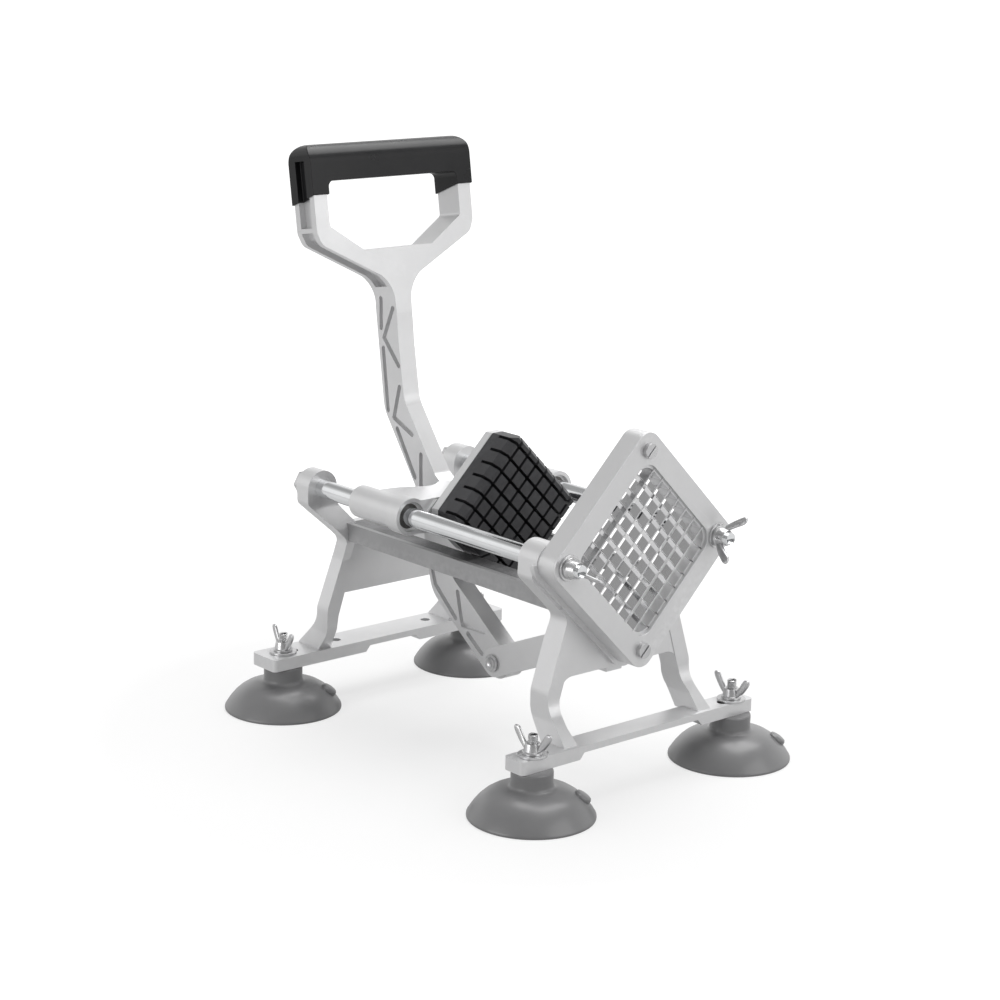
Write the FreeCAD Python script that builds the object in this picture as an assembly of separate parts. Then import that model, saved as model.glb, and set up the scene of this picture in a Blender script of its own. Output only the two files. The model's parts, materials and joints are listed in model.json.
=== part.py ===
import FreeCAD, Part

import math
import os

# All sizes are in millimetres. X runs across the cutter, Y from the blades (-Y) to the nuts
# behind the carriage (+Y), and Z up from the table under the suction cups.

# Guide rods
ROD_Z = 149.3
ROD_R = 6.0
ROD_END_R = 4.0
ROD_REAR_R = 5.0
ROD_FRONT_Y = -139.5
ROD_REAR_Y = 134.0
RUNNING_GAP = 0.05
CLEAR_GAP = 0.3

# Cutter cartridge, a square set on its corner
SQUARE_SIDE = 108.5
ROD_INSET = 15.22
SCREW_INSET = 15.02
SQUARE_CORNER = 10.0
OPENING_SIDE = 77.0
OPENING_CORNER = 9.0
SEAT_Y = -113.5
HOUSING_DEPTH = 13.0
COVER_THICK = 2.0
BLADE_THICK = 0.7
BLADE_PITCH = 10.0
BLADE_COUNT = 7
BLADE_GRIP = 4.5
FRONT_BLADE_DEPTH = 5.8
REAR_BLADE_DEPTH = 5.4
BLADE_ROW_GAP = 0.2
SCREW_HEAD_R = 4.75
SCREW_HEAD_H = 3.0
SCREW_SHANK_R = 2.5

# Front and rear frames
WEB_THICK = 6.0
BOSS_R = 11.75
FRONT_BOSS_DEPTH = 16.5
PAD_THICK = 3.5
PAD_LIP = 3.0
WEB_RISE = 36.2
WAIST_INSET = 14.5
FOOT_BAR_Z = 37.8
FOOT_BAR_THICK = 8.2
FOOT_BAR_THIN = 4.2
FOOT_X = 83.4
FOOT_Y = 125.0
REAR_FACE_Y = 111.0
REAR_BOSS_DEPTH = 13.0
BENCH_HOLE_R = 3.3
BENCH_HOLE_X = 38.7
BENCH_HOLE_Y = 126.5
STUD_SLOT_LENGTH = 20.0
CUP_SHIFT = 6.0

# Bed rails
RAIL_OUTER_X = 46.0
RAIL_INNER_X = 27.6
RAIL_CLEARANCE = 0.35
RAIL_THICK = 3.5
RAIL_SIDE_H = 10.8
RAIL_STRIP_W = 3.6
RAIL_STRIP_H = 0.9

# Suction cups and their studs
CUP_R = 38.7
CUP_NECK_R = 12.8
CUP_NECK_Z = 18.5
STUD_R = 3.0
STUD_TOP_Z = 51.0
WASHER_T = 1.5

# Carriage and pusher
PLATE_Y = 14.3
PLATE_THICK = 6.0
PLATE_CLEARANCE = 1.2
TIP_CUT = 4.65
BLOCK_STEP = 0.3
BLOCK_BASE = 7.0
STUD_HEIGHT = 14.0
GROOVE_W = 2.0
BEAM_Y = 18.0
BEAM_WALL = 6.2
BEAM_RISE = 9.7
PUSHER_SCREW_OFFSET = 34.0
HUB_LENGTH = 51.0
HUB_R = 10.5
HUB_RING_R = 12.0
BUSH_R = 8.0

# Lever and links
PIVOT_Y = 40.0
PIVOT_DROP = 4.3
PIVOT_R = 5.0
LEVER_HALF = 6.5
SIDE_GAP = 0.4
EAR_THICK = 8.0
CRANK_DY = -44.5
CRANK_DZ = -95.2
LINK_PIN_R = 4.0
LINK_THICK = 5.0
LINK_END_R = 9.5
FRONT_PIN_Y = -93.8
FRONT_PIN_Z = 88.0
SLOT_FORWARD = 0.6
SLOT_BACK = 2.15
SLOT_UP = 6.3
SLOT_DOWN = 12.2
GRIP_SKIN = 1.3
HANDLE_LEAN = 8.98
HANDLE_DEPTH = 21.7
HANDLE_HALF_W = 64.5
HANDLE_RISE = 167.7
HANDLE_BAR = 21.2
HANDLE_WALL = 10.5
CHANNEL_INSET = 4.8
CHANNEL_DEPTH = 4.2
GROOVE_WIDTH = 3.5
GROOVE_DEPTH = 3.2

# Derived places
HALF_DIAGONAL = SQUARE_SIDE / math.sqrt(2.0)
ROD_X = HALF_DIAGONAL - ROD_INSET
SCREW_OFFSET = HALF_DIAGONAL - SCREW_INSET
PLATE_SIDE = OPENING_SIDE - 2.0 * PLATE_CLEARANCE
BLOCK_SIDE = PLATE_SIDE - 2.0 * BLOCK_STEP
TIP_HALF = PLATE_SIDE / math.sqrt(2.0) - TIP_CUT
RAIL_TOP_Z = ROD_Z - (PLATE_SIDE / math.sqrt(2.0) - RAIL_INNER_X) - RAIL_CLEARANCE
WAIST_X = ROD_X - WAIST_INSET
WEB_BOTTOM_Z = FOOT_BAR_Z + WEB_RISE
BEAM_TOP_Z = ROD_Z + BEAM_RISE
PIVOT_Z = ROD_Z - PIVOT_DROP
HOUSING_FRONT_Y = SEAT_Y - HOUSING_DEPTH
COVER_FRONT_Y = HOUSING_FRONT_Y - COVER_THICK
WEB_FRONT_Y = SEAT_Y + PAD_THICK
WEB_REAR_Y = WEB_FRONT_Y + WEB_THICK
FRONT_BLADE_Y = HOUSING_FRONT_Y + FRONT_BLADE_DEPTH
REAR_BLADE_Y = FRONT_BLADE_Y + BLADE_ROW_GAP
FOOT_UNDER_Z = FOOT_BAR_Z - FOOT_BAR_THICK
REAR_END_Y = REAR_FACE_Y + REAR_BOSS_DEPTH
BLOCK_BACK_Y = PLATE_Y - PLATE_THICK
BASE_FRONT_Y = BLOCK_BACK_Y - BLOCK_BASE
STUD_TIP_Y = BASE_FRONT_Y - STUD_HEIGHT
HUB_REAR_Y = BEAM_Y + HUB_LENGTH
CRANK_Y = PIVOT_Y + CRANK_DY
CRANK_Z = PIVOT_Z + CRANK_DZ
EAR_IN = LEVER_HALF + SIDE_GAP
EAR_OUT = EAR_IN + EAR_THICK
LINK_OUT = EAR_IN + LINK_THICK


def vector(axis, u, v, w):
    """Point at (u, v) in the plane across an axis, w along it."""
    if axis == "x":
        return FreeCAD.Vector(w, u, v)
    if axis == "y":
        return FreeCAD.Vector(u, w, v)
    return FreeCAD.Vector(u, v, w)


def outline(axis, points, level):
    """Closed wire through points (u, v) or (u, v, round), at a level along the axis."""
    count = len(points)
    starts = []
    ends = []
    mids = []
    for i in range(count):
        u, v = points[i][0], points[i][1]
        r = points[i][2] if len(points[i]) > 2 else 0.0
        au, av = points[i - 1][0] - u, points[i - 1][1] - v
        bu, bv = points[(i + 1) % count][0] - u, points[(i + 1) % count][1] - v
        la, lb = math.hypot(au, av), math.hypot(bu, bv)
        au, av, bu, bv = au / la, av / la, bu / lb, bv / lb
        half = math.acos(max(-1.0, min(1.0, au * bu + av * bv))) / 2.0
        if r <= 0.0 or half > math.pi / 2.0 - 0.01:
            starts.append((u, v))
            ends.append((u, v))
            mids.append(None)
            continue
        cut = r / math.tan(half)
        mu, mv = au + bu, av + bv
        lm = math.hypot(mu, mv)
        reach = r / math.sin(half) - r
        starts.append((u + au * cut, v + av * cut))
        ends.append((u + bu * cut, v + bv * cut))
        mids.append((u + mu / lm * reach, v + mv / lm * reach))
    edges = []
    for i in range(count):
        if mids[i] is not None:
            p, m, q = starts[i], mids[i], ends[i]
            edges.append(Part.Arc(vector(axis, p[0], p[1], level), vector(axis, m[0], m[1], level),
                                  vector(axis, q[0], q[1], level)).toShape())
        p, q = ends[i], starts[(i + 1) % count]
        if math.hypot(p[0] - q[0], p[1] - q[1]) > 1e-5:
            edges.append(Part.LineSegment(vector(axis, p[0], p[1], level),
                                          vector(axis, q[0], q[1], level)).toShape())
    return Part.Wire(edges)


def plate(axis, points, low, high):
    """Solid between two levels along an axis, with the given outline."""
    face = Part.Face(outline(axis, points, low))
    return face.extrude(vector(axis, 0.0, 0.0, high - low))


def bar(axis, radius, low, high, u, v):
    """Round bar along an axis, centred on (u, v)."""
    return Part.makeCylinder(radius, high - low, vector(axis, u, v, low), vector(axis, 0.0, 0.0, 1.0))


def ring(axis, outer, inner, low, high, u, v):
    """Round bar with a bore."""
    return bar(axis, outer, low, high, u, v).cut(bar(axis, inner, low - 1.0, high + 1.0, u, v))


def block(x0, x1, y0, y1, z0, z1):
    """Rectangular block between two corners."""
    return Part.makeBox(x1 - x0, y1 - y0, z1 - z0, FreeCAD.Vector(x0, y0, z0))


def diamond(side, corner, low, high):
    """Square plate set on its corner on the rods' plane, between two Y levels."""
    h = side / math.sqrt(2.0)
    points = [(h, ROD_Z, corner), (0.0, ROD_Z + h, corner), (-h, ROD_Z, corner), (0.0, ROD_Z - h, corner)]
    return plate("y", points, low, high)


def strip(along, across, width, y0, y1, turn):
    """Straight strip centred in the diamond: half length, offset and turn of 45 or -45 degrees."""
    body = block(-along, along, y0, y1, across - width / 2.0, across + width / 2.0)
    body.rotate(FreeCAD.Vector(0, 0, 0), FreeCAD.Vector(0, 1, 0), turn)
    body.translate(FreeCAD.Vector(0, 0, ROD_Z))
    return body


def capsule(axis, p, q, width, low, high):
    """Round-ended bar from p to q across an axis."""
    length = math.hypot(q[0] - p[0], q[1] - p[1])
    nu = -(q[1] - p[1]) / length * width / 2.0
    nv = (q[0] - p[0]) / length * width / 2.0
    points = [(p[0] + nu, p[1] + nv), (p[0] - nu, p[1] - nv), (q[0] - nu, q[1] - nv), (q[0] + nu, q[1] + nv)]
    body = plate(axis, points, low, high)
    return body.multiFuse([bar(axis, width / 2.0, low, high, p[0], p[1]),
                           bar(axis, width / 2.0, low, high, q[0], q[1])])


def mirrored(shape):
    """Copy of a shape on the other side of the middle plane."""
    return shape.mirror(FreeCAD.Vector(0, 0, 0), FreeCAD.Vector(1, 0, 0))


def both(shape):
    """A shape and its mirror image."""
    return [shape, mirrored(shape)]


def united(shapes):
    """One solid from several that overlap."""
    return shapes[0].multiFuse(shapes[1:]).removeSplitter()


def save(shape, node):
    """Write one node, as a solid or a group of solids."""
    solids = shape.Solids
    out = solids[0] if len(solids) == 1 else Part.makeCompound(solids)
    out.exportStep("parts/" + node + ".step")


def group(shapes):
    """Several separate solids as one shape."""
    return Part.makeCompound([solid for shape in shapes for solid in shape.Solids])


def leg_view(waist):
    """Right leg seen from the front, with the points (x, z, round) of its outer side at the waist."""
    top = ROD_Z - 31.3
    return ([(WAIST_X - 7.5, top), (waist[0][0] + top - waist[0][1], top)] + waist
            + [(WAIST_X + 12.0, FOOT_BAR_Z + 28.7, 12.0), (WAIST_X + 12.2, FOOT_BAR_Z + 12.2, 16.0),
               (WAIST_X + 14.8, FOOT_BAR_Z - 3.8), (WAIST_X + 3.4, FOOT_BAR_Z - 3.8),
               (WAIST_X + 4.8, FOOT_BAR_Z + 9.2, 10.0), (WAIST_X + 2.9, FOOT_BAR_Z + 23.2, 12.0),
               (WAIST_X - 5.5, ROD_Z - 62.3)])


def stud_slot(side, y):
    """Slot along X for a cup's stud."""
    reach = STUD_SLOT_LENGTH / 2.0 - BENCH_HOLE_R
    inner = (side * (FOOT_X - 1.5 - reach), y)
    outer = (side * (FOOT_X - 1.5 + reach), y)
    return capsule("z", inner, outer, BENCH_HOLE_R * 2.0, FOOT_UNDER_Z - 1.0, FOOT_BAR_Z + 1.0)


def foot_bar(half, y0, y1, thick_from):
    """Bar across the feet, thinner in the middle."""
    points = [(-half, y0, 3.0), (half, y0, 3.0), (half, y1, 3.0), (-half, y1, 3.0)]
    body = plate("z", points, FOOT_UNDER_Z, FOOT_BAR_Z)
    thin_z = FOOT_BAR_Z - FOOT_BAR_THIN
    relief = [(-thick_from, FOOT_UNDER_Z - 1.0), (-thick_from + 4.2, thin_z, 1.5),
              (thick_from - 4.2, thin_z, 1.5), (thick_from, FOOT_UNDER_Z - 1.0)]
    return body.cut(plate("y", relief, y0 - 1.0, y1 + 1.0))


def front_frame():
    """Casting that carries the cartridge: pad, web, rod bosses, legs, foot bar and link lug."""
    boss_rear = SEAT_Y + FRONT_BOSS_DEPTH
    side_x = ROD_X + BOSS_R
    waist = (WAIST_X - 2.4, ROD_Z - 38.7, 6.0)
    taper_x = waist[0] + ROD_Z - 9.6 - waist[1]
    inner_x = WAIST_X - 9.5
    arm = [(inner_x, waist[1]), waist, (taper_x, ROD_Z - 9.6, 5.0), (side_x, ROD_Z), (ROD_X - 8.0, ROD_Z),
           (inner_x, ROD_Z - 21.3)]
    edge = [(ROD_X, ROD_Z), (ROD_X + 1.8, ROD_Z - 19.3), (waist[0] - 0.5, waist[1], 6.0),
            (WAIST_X + 4.0, WEB_BOTTOM_Z + 14.0), (WAIST_X + 8.4, WEB_BOTTOM_Z - 6.0),
            (WAIST_X + 2.5, WEB_BOTTOM_Z - 14.0), (WAIST_X + 0.6, WEB_BOTTOM_Z, 9.0)]
    web = edge + [(-p[0], p[1]) + p[2:] for p in reversed(edge)]
    profile = [(boss_rear - 0.5, ROD_Z - 19.3), (boss_rear + 2.5, ROD_Z - 53.3, 20.0),
               (boss_rear + 2.5, FOOT_BAR_Z + 14.2, 16.0), (17.0 - FOOT_Y, FOOT_BAR_Z - 1.8),
               (-FOOT_Y - 3.0, FOOT_BAR_Z - 1.8), (-FOOT_Y - 3.0, FOOT_BAR_Z + 0.5),
               (WEB_FRONT_Y - 0.5, FOOT_BAR_Z + 18.7, 16.0), (WEB_FRONT_Y - 0.5, ROD_Z - 19.3)]
    pieces = [plate("y", web, WEB_FRONT_Y, WEB_REAR_Y),
              foot_bar(FOOT_X + 13.6, -FOOT_Y - 6.5, -FOOT_Y + 10.5, WAIST_X + 5.0)]
    legs = plate("y", leg_view([waist]), -FOOT_Y - 10.0, boss_rear + 12.0)
    pieces += both(legs.common(plate("x", profile, 0.0, ROD_X + BOSS_R)))
    pieces += both(plate("y", arm, WEB_FRONT_Y, boss_rear))
    pieces += both(bar("y", BOSS_R, SEAT_Y, boss_rear, ROD_X, ROD_Z))
    pad = diamond(SQUARE_SIDE + 2.0 * PAD_LIP, SQUARE_CORNER + PAD_LIP, SEAT_Y, WEB_FRONT_Y)
    pieces.append(pad.common(block(-SQUARE_SIDE, SQUARE_SIDE, SEAT_Y, WEB_FRONT_Y, 0.0, ROD_Z)))
    lug_front = WEB_REAR_Y - 0.5
    lug_rear = FRONT_PIN_Y + SLOT_BACK + LINK_PIN_R + 4.0
    low = FRONT_PIN_Z - SLOT_DOWN - LINK_PIN_R - 3.2
    high = FRONT_PIN_Z + SLOT_UP + LINK_PIN_R + 3.2
    lug = [(lug_front, low), (lug_rear, low, 3.0), (lug_rear, high, 3.0), (lug_front, high)]
    pieces.append(plate("x", lug, -LEVER_HALF, LEVER_HALF))
    body = united(pieces)
    slot = [(FRONT_PIN_Y - SLOT_FORWARD - LINK_PIN_R, FRONT_PIN_Z - SLOT_DOWN - LINK_PIN_R, 3.5),
            (FRONT_PIN_Y + SLOT_BACK + LINK_PIN_R, FRONT_PIN_Z - SLOT_DOWN - LINK_PIN_R, 3.5),
            (FRONT_PIN_Y + SLOT_BACK + LINK_PIN_R, FRONT_PIN_Z + SLOT_UP + LINK_PIN_R, 3.5),
            (FRONT_PIN_Y - SLOT_FORWARD - LINK_PIN_R, FRONT_PIN_Z + SLOT_UP + LINK_PIN_R, 3.5)]
    cuts = [plate("x", slot, -WAIST_X, WAIST_X), diamond(OPENING_SIDE, OPENING_CORNER, SEAT_Y - 5.0, boss_rear + 12.0)]
    shoulder = SEAT_Y + 6.5
    cuts += both(bar("y", ROD_R, shoulder, boss_rear + 1.0, ROD_X, ROD_Z))
    cuts += both(bar("y", ROD_END_R, SEAT_Y - 1.0, shoulder + 1.0, ROD_X, ROD_Z))
    cuts += [stud_slot(1.0, -FOOT_Y), stud_slot(-1.0, -FOOT_Y)]
    return body.cut(cuts)


def rear_side():
    """Right leg and arm of the rear frame, from the foot bar up to the rod's boss."""
    side_x = ROD_X + BOSS_R
    waist = (WAIST_X, ROD_Z - 35.8, 8.0)
    taper_x = waist[0] + ROD_Z - 9.6 - waist[1]
    arm = [(WAIST_X - 9.0, waist[1] - 2.0), (WAIST_X, waist[1] - 2.0), waist, (taper_x, ROD_Z - 9.6, 5.0),
           (side_x, ROD_Z), (ROD_X - BOSS_R, ROD_Z), (ROD_X - BOSS_R, ROD_Z - 11.3, 6.0),
           (WAIST_X - 9.0, RAIL_TOP_Z, 6.0)]
    arm_profile = [(REAR_END_Y - 1.0, ROD_Z + 1.0), (REAR_END_Y - 1.0, ROD_Z - 12.0, 9.0),
                   (REAR_FACE_Y + 3.5, ROD_Z - 31.0, 9.0), (REAR_FACE_Y + 3.5, ROD_Z - 39.0),
                   (REAR_FACE_Y - 7.5, ROD_Z - 39.0), (REAR_FACE_Y - 7.5, ROD_Z - 29.0, 9.0),
                   (REAR_FACE_Y, ROD_Z - 12.0, 9.0), (REAR_FACE_Y, ROD_Z + 1.0)]
    profile = [(REAR_FACE_Y - 7.5, ROD_Z - 30.0), (REAR_FACE_Y - 7.5, ROD_Z - 37.3, 10.0),
               (REAR_FACE_Y - 2.8, ROD_Z - 50.3, 10.0), (REAR_FACE_Y - 2.2, FOOT_BAR_Z + 12.2, 16.0),
               (REAR_FACE_Y + 6.0, FOOT_BAR_Z - 1.8), (FOOT_Y + 13.0, FOOT_BAR_Z - 1.8),
               (FOOT_Y + 13.0, FOOT_BAR_Z + 0.5), (REAR_FACE_Y + 9.5, FOOT_BAR_Z + 19.2, 16.0),
               (REAR_FACE_Y + 8.6, ROD_Z - 50.3, 10.0), (REAR_FACE_Y + 3.5, ROD_Z - 37.3, 10.0),
               (REAR_FACE_Y + 3.5, ROD_Z - 30.0)]
    view = leg_view([waist, (WAIST_X, ROD_Z - 49.8, 14.0)])
    leg = plate("y", view, REAR_FACE_Y - 12.0, FOOT_Y + 15.0).common(plate("x", profile, 0.0, side_x))
    upper = plate("y", arm, REAR_FACE_Y - 12.0, REAR_END_Y).common(plate("x", arm_profile, 0.0, side_x + 5.0))
    return [leg, upper]


def rear_frame():
    """Casting behind the bed: web, rod bosses, legs that flare back, and the bench bar."""
    web_y = REAR_FACE_Y - 2.0
    low = WEB_BOTTOM_Z + 2.0
    web = [(-WAIST_X - 3.0, low), (-WAIST_X + 3.0, ROD_Z - 37.3), (-WAIST_X + 3.0, RAIL_TOP_Z),
           (WAIST_X - 3.0, RAIL_TOP_Z), (WAIST_X - 3.0, ROD_Z - 37.3), (WAIST_X + 3.0, low)]
    pieces = [plate("y", web, web_y, web_y + WEB_THICK), foot_bar(FOOT_X + 15.6, FOOT_Y - 12.0, FOOT_Y + 13.5, 24.0)]
    for piece in rear_side():
        pieces += both(piece)
    pieces += both(bar("y", BOSS_R, REAR_FACE_Y, REAR_END_Y, ROD_X, ROD_Z))
    body = united(pieces)
    shoulder = REAR_FACE_Y + 7.0
    cuts = both(bar("y", ROD_R, REAR_FACE_Y - 1.0, shoulder, ROD_X, ROD_Z))
    cuts += both(bar("y", ROD_REAR_R, shoulder - 1.0, REAR_END_Y + 1.0, ROD_X, ROD_Z))
    cuts += [stud_slot(1.0, FOOT_Y), stud_slot(-1.0, FOOT_Y)]
    for side in (-1.0, 1.0):
        cuts.append(bar("z", BENCH_HOLE_R, FOOT_UNDER_Z - 5.0, FOOT_BAR_Z + 5.0, side * BENCH_HOLE_X, BENCH_HOLE_Y))
    return body.cut(cuts)


def bed_rail():
    """Angle rail beside the bed's slot, with a raised strip along its outer edge."""
    low = RAIL_TOP_Z - RAIL_SIDE_H
    top = RAIL_TOP_Z + RAIL_STRIP_H
    inner_wall = RAIL_OUTER_X - 4.0
    strip_x = RAIL_OUTER_X - RAIL_STRIP_W
    section = [(RAIL_INNER_X, RAIL_TOP_Z, 0.8), (RAIL_INNER_X, RAIL_TOP_Z - RAIL_THICK),
               (inner_wall, RAIL_TOP_Z - RAIL_THICK, 1.5), (inner_wall, low), (RAIL_OUTER_X, low),
               (RAIL_OUTER_X, top, 0.5), (strip_x, top, 0.3), (strip_x, RAIL_TOP_Z)]
    body = plate("y", section, WEB_REAR_Y, REAR_FACE_Y - 2.0)
    notch = block(WAIST_X - 9.5, SQUARE_SIDE, SEAT_Y, SEAT_Y + FRONT_BOSS_DEPTH + 2.2, low - 5.0, top + 5.0)
    body = body.cut([notch] + rear_side())
    solids = sorted(body.Solids, key=lambda solid: solid.Volume)
    return solids[-1]


def guide_rod():
    """Ground rod with a threaded end at each face of the frame."""
    shoulder_front = SEAT_Y + 6.5
    shoulder_rear = REAR_FACE_Y + 7.0
    return united([bar("y", ROD_R, shoulder_front, shoulder_rear, ROD_X, ROD_Z),
                   bar("y", ROD_END_R, ROD_FRONT_Y, shoulder_front + 1.0, ROD_X, ROD_Z),
                   bar("y", ROD_REAR_R, shoulder_rear - 1.0, ROD_REAR_Y, ROD_X, ROD_Z)])


def rod_nut():
    """Hexagon nut behind a rear boss."""
    across = 8.0
    points = []
    for i in range(6):
        a = math.radians(60.0 * i)
        points.append((ROD_X + across / math.cos(math.pi / 6.0) * math.cos(a),
                       ROD_Z + across / math.cos(math.pi / 6.0) * math.sin(a)))
    body = plate("y", points, REAR_END_Y, REAR_END_Y + 7.0)
    return body.cut(bar("y", ROD_REAR_R, REAR_END_Y - 1.0, REAR_END_Y + 8.0, ROD_X, ROD_Z))


def suction_cup(x, y):
    """Rubber cup with a domed skirt, a hollow underneath and a release tab."""
    profile = [(0.0, FOOT_UNDER_Z), (CUP_NECK_R, FOOT_UNDER_Z), (CUP_NECK_R, CUP_NECK_Z, 3.0), (26.5, 15.3, 18.0),
               (37.0, 6.0, 12.0), (CUP_R, 1.6, 1.0), (CUP_R, 0.0), (CUP_R - 2.4, 0.0), (30.0, 5.2, 14.0),
               (0.0, 7.5)]
    face = Part.Face(outline("x", profile, 0.0))
    body = face.revolve(FreeCAD.Vector(0, 0, 0), FreeCAD.Vector(0, 0, 1), 360)
    tab = Part.makeCylinder(5.6, 5.0, FreeCAD.Vector(0, 0, -2.4), FreeCAD.Vector(0, 0, 1))
    tab.rotate(FreeCAD.Vector(0, 0, 0), FreeCAD.Vector(0, 1, 0), 33.0)
    tab.translate(FreeCAD.Vector(29.8, 0.0, 12.0))
    tab.rotate(FreeCAD.Vector(0, 0, 0), FreeCAD.Vector(0, 0, 1), -40.0)
    body = body.fuse(tab).cut(bar("z", STUD_R, 17.0, 40.0, 0.0, 0.0))
    body.translate(FreeCAD.Vector(x, y, 0.0))
    return body


def wing_nut(bore, scale):
    """Wing nut on +Z from its seat: round body, collar and two upswept wings."""
    body = Part.makeCone(5.9 * scale, 4.7 * scale, 6.6 * scale)
    body = body.fuse(Part.makeCylinder(6.2 * scale, 1.4 * scale))
    profile = [(2.5, 1.2), (6.0, 1.4), (11.2, 5.8, 3.0), (15.6, 11.6, 2.4), (12.4, 15.2, 2.6), (8.8, 11.6, 3.0),
               (5.2, 6.0, 2.0), (2.5, 5.6)]
    points = [(p[0] * scale, p[1] * scale) + p[2:] for p in profile]
    wing = plate("y", points, -1.35 * scale, 1.35 * scale)
    body = united([body, wing, mirrored(wing)])
    return body.cut(Part.makeCylinder(bore, 30.0, FreeCAD.Vector(0, 0, -1.0)))


def cup_wing_nut(x, y, turn):
    """Wing nut standing on a cup's washer."""
    body = wing_nut(STUD_R + RUNNING_GAP, 1.0)
    body.rotate(FreeCAD.Vector(0, 0, 0), FreeCAD.Vector(0, 0, 1), turn)
    body.translate(FreeCAD.Vector(x, y, FOOT_BAR_Z + WASHER_T))
    return body


def cartridge_wing_nut(side, turn):
    """Wing nut on a rod's front end."""
    body = wing_nut(ROD_END_R + RUNNING_GAP, 1.06)
    body.rotate(FreeCAD.Vector(0, 0, 0), FreeCAD.Vector(0, 0, 1), turn)
    body.rotate(FreeCAD.Vector(0, 0, 0), FreeCAD.Vector(1, 0, 0), 90.0)
    body.translate(FreeCAD.Vector(side * ROD_X, COVER_FRONT_Y - WASHER_T, ROD_Z))
    return body


def blade_slots(width, y0, y1, turn):
    """Strips that reach into the housing on both sides of the opening."""
    reach = OPENING_SIDE / 2.0 + BLADE_GRIP
    first = -(BLADE_COUNT - 1) / 2.0 * BLADE_PITCH
    return [strip(reach, first + i * BLADE_PITCH, width, y0, y1, turn) for i in range(BLADE_COUNT)]


def cutter_housing():
    """Deep square ring that holds the two rows of blades."""
    body = diamond(SQUARE_SIDE, SQUARE_CORNER, HOUSING_FRONT_Y, SEAT_Y)
    hole = diamond(OPENING_SIDE, OPENING_CORNER, HOUSING_FRONT_Y - 1.0, SEAT_Y + 1.0)
    cuts = [hole]
    cuts += blade_slots(BLADE_THICK, HOUSING_FRONT_Y - 1.0, FRONT_BLADE_Y, 45.0)
    cuts += blade_slots(BLADE_THICK, REAR_BLADE_Y, SEAT_Y + 1.0, -45.0)
    cuts += both(bar("y", ROD_END_R + CLEAR_GAP, HOUSING_FRONT_Y - 1.0, SEAT_Y + 1.0, ROD_X, ROD_Z))
    for side in (-1.0, 1.0):
        cuts.append(bar("y", SCREW_SHANK_R, HOUSING_FRONT_Y - 1.0, HOUSING_FRONT_Y + 8.0, 0.0,
                        ROD_Z + side * SCREW_OFFSET))
    return body.cut(cuts)


def cover_plate():
    """Thin square ring over the front blades."""
    body = diamond(SQUARE_SIDE, SQUARE_CORNER, COVER_FRONT_Y, HOUSING_FRONT_Y)
    cuts = [diamond(OPENING_SIDE, OPENING_CORNER, COVER_FRONT_Y - 1.0, HOUSING_FRONT_Y + 1.0)]
    cuts += both(bar("y", ROD_END_R + CLEAR_GAP, COVER_FRONT_Y - 1.0, HOUSING_FRONT_Y + 1.0, ROD_X, ROD_Z))
    for side in (-1.0, 1.0):
        cuts.append(bar("y", SCREW_SHANK_R, COVER_FRONT_Y - 1.0, HOUSING_FRONT_Y + 1.0, 0.0,
                        ROD_Z + side * SCREW_OFFSET))
    return body.cut(cuts)


def cover_screw(side):
    """Slotted cheese-head screw."""
    z = ROD_Z + side * SCREW_OFFSET
    head = bar("y", SCREW_HEAD_R, COVER_FRONT_Y - SCREW_HEAD_H, COVER_FRONT_Y, 0.0, z)
    shank = bar("y", SCREW_SHANK_R, COVER_FRONT_Y - 0.5, HOUSING_FRONT_Y + 8.0, 0.0, z)
    slot = block(-6.0, 6.0, COVER_FRONT_Y - SCREW_HEAD_H - 1.0, COVER_FRONT_Y - SCREW_HEAD_H + 1.4, -0.65, 0.65)
    slot.rotate(FreeCAD.Vector(0, 0, 0), FreeCAD.Vector(0, 1, 0), -45.0)
    slot.translate(FreeCAD.Vector(0, 0, z))
    return head.fuse(shank).cut(slot)


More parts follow.
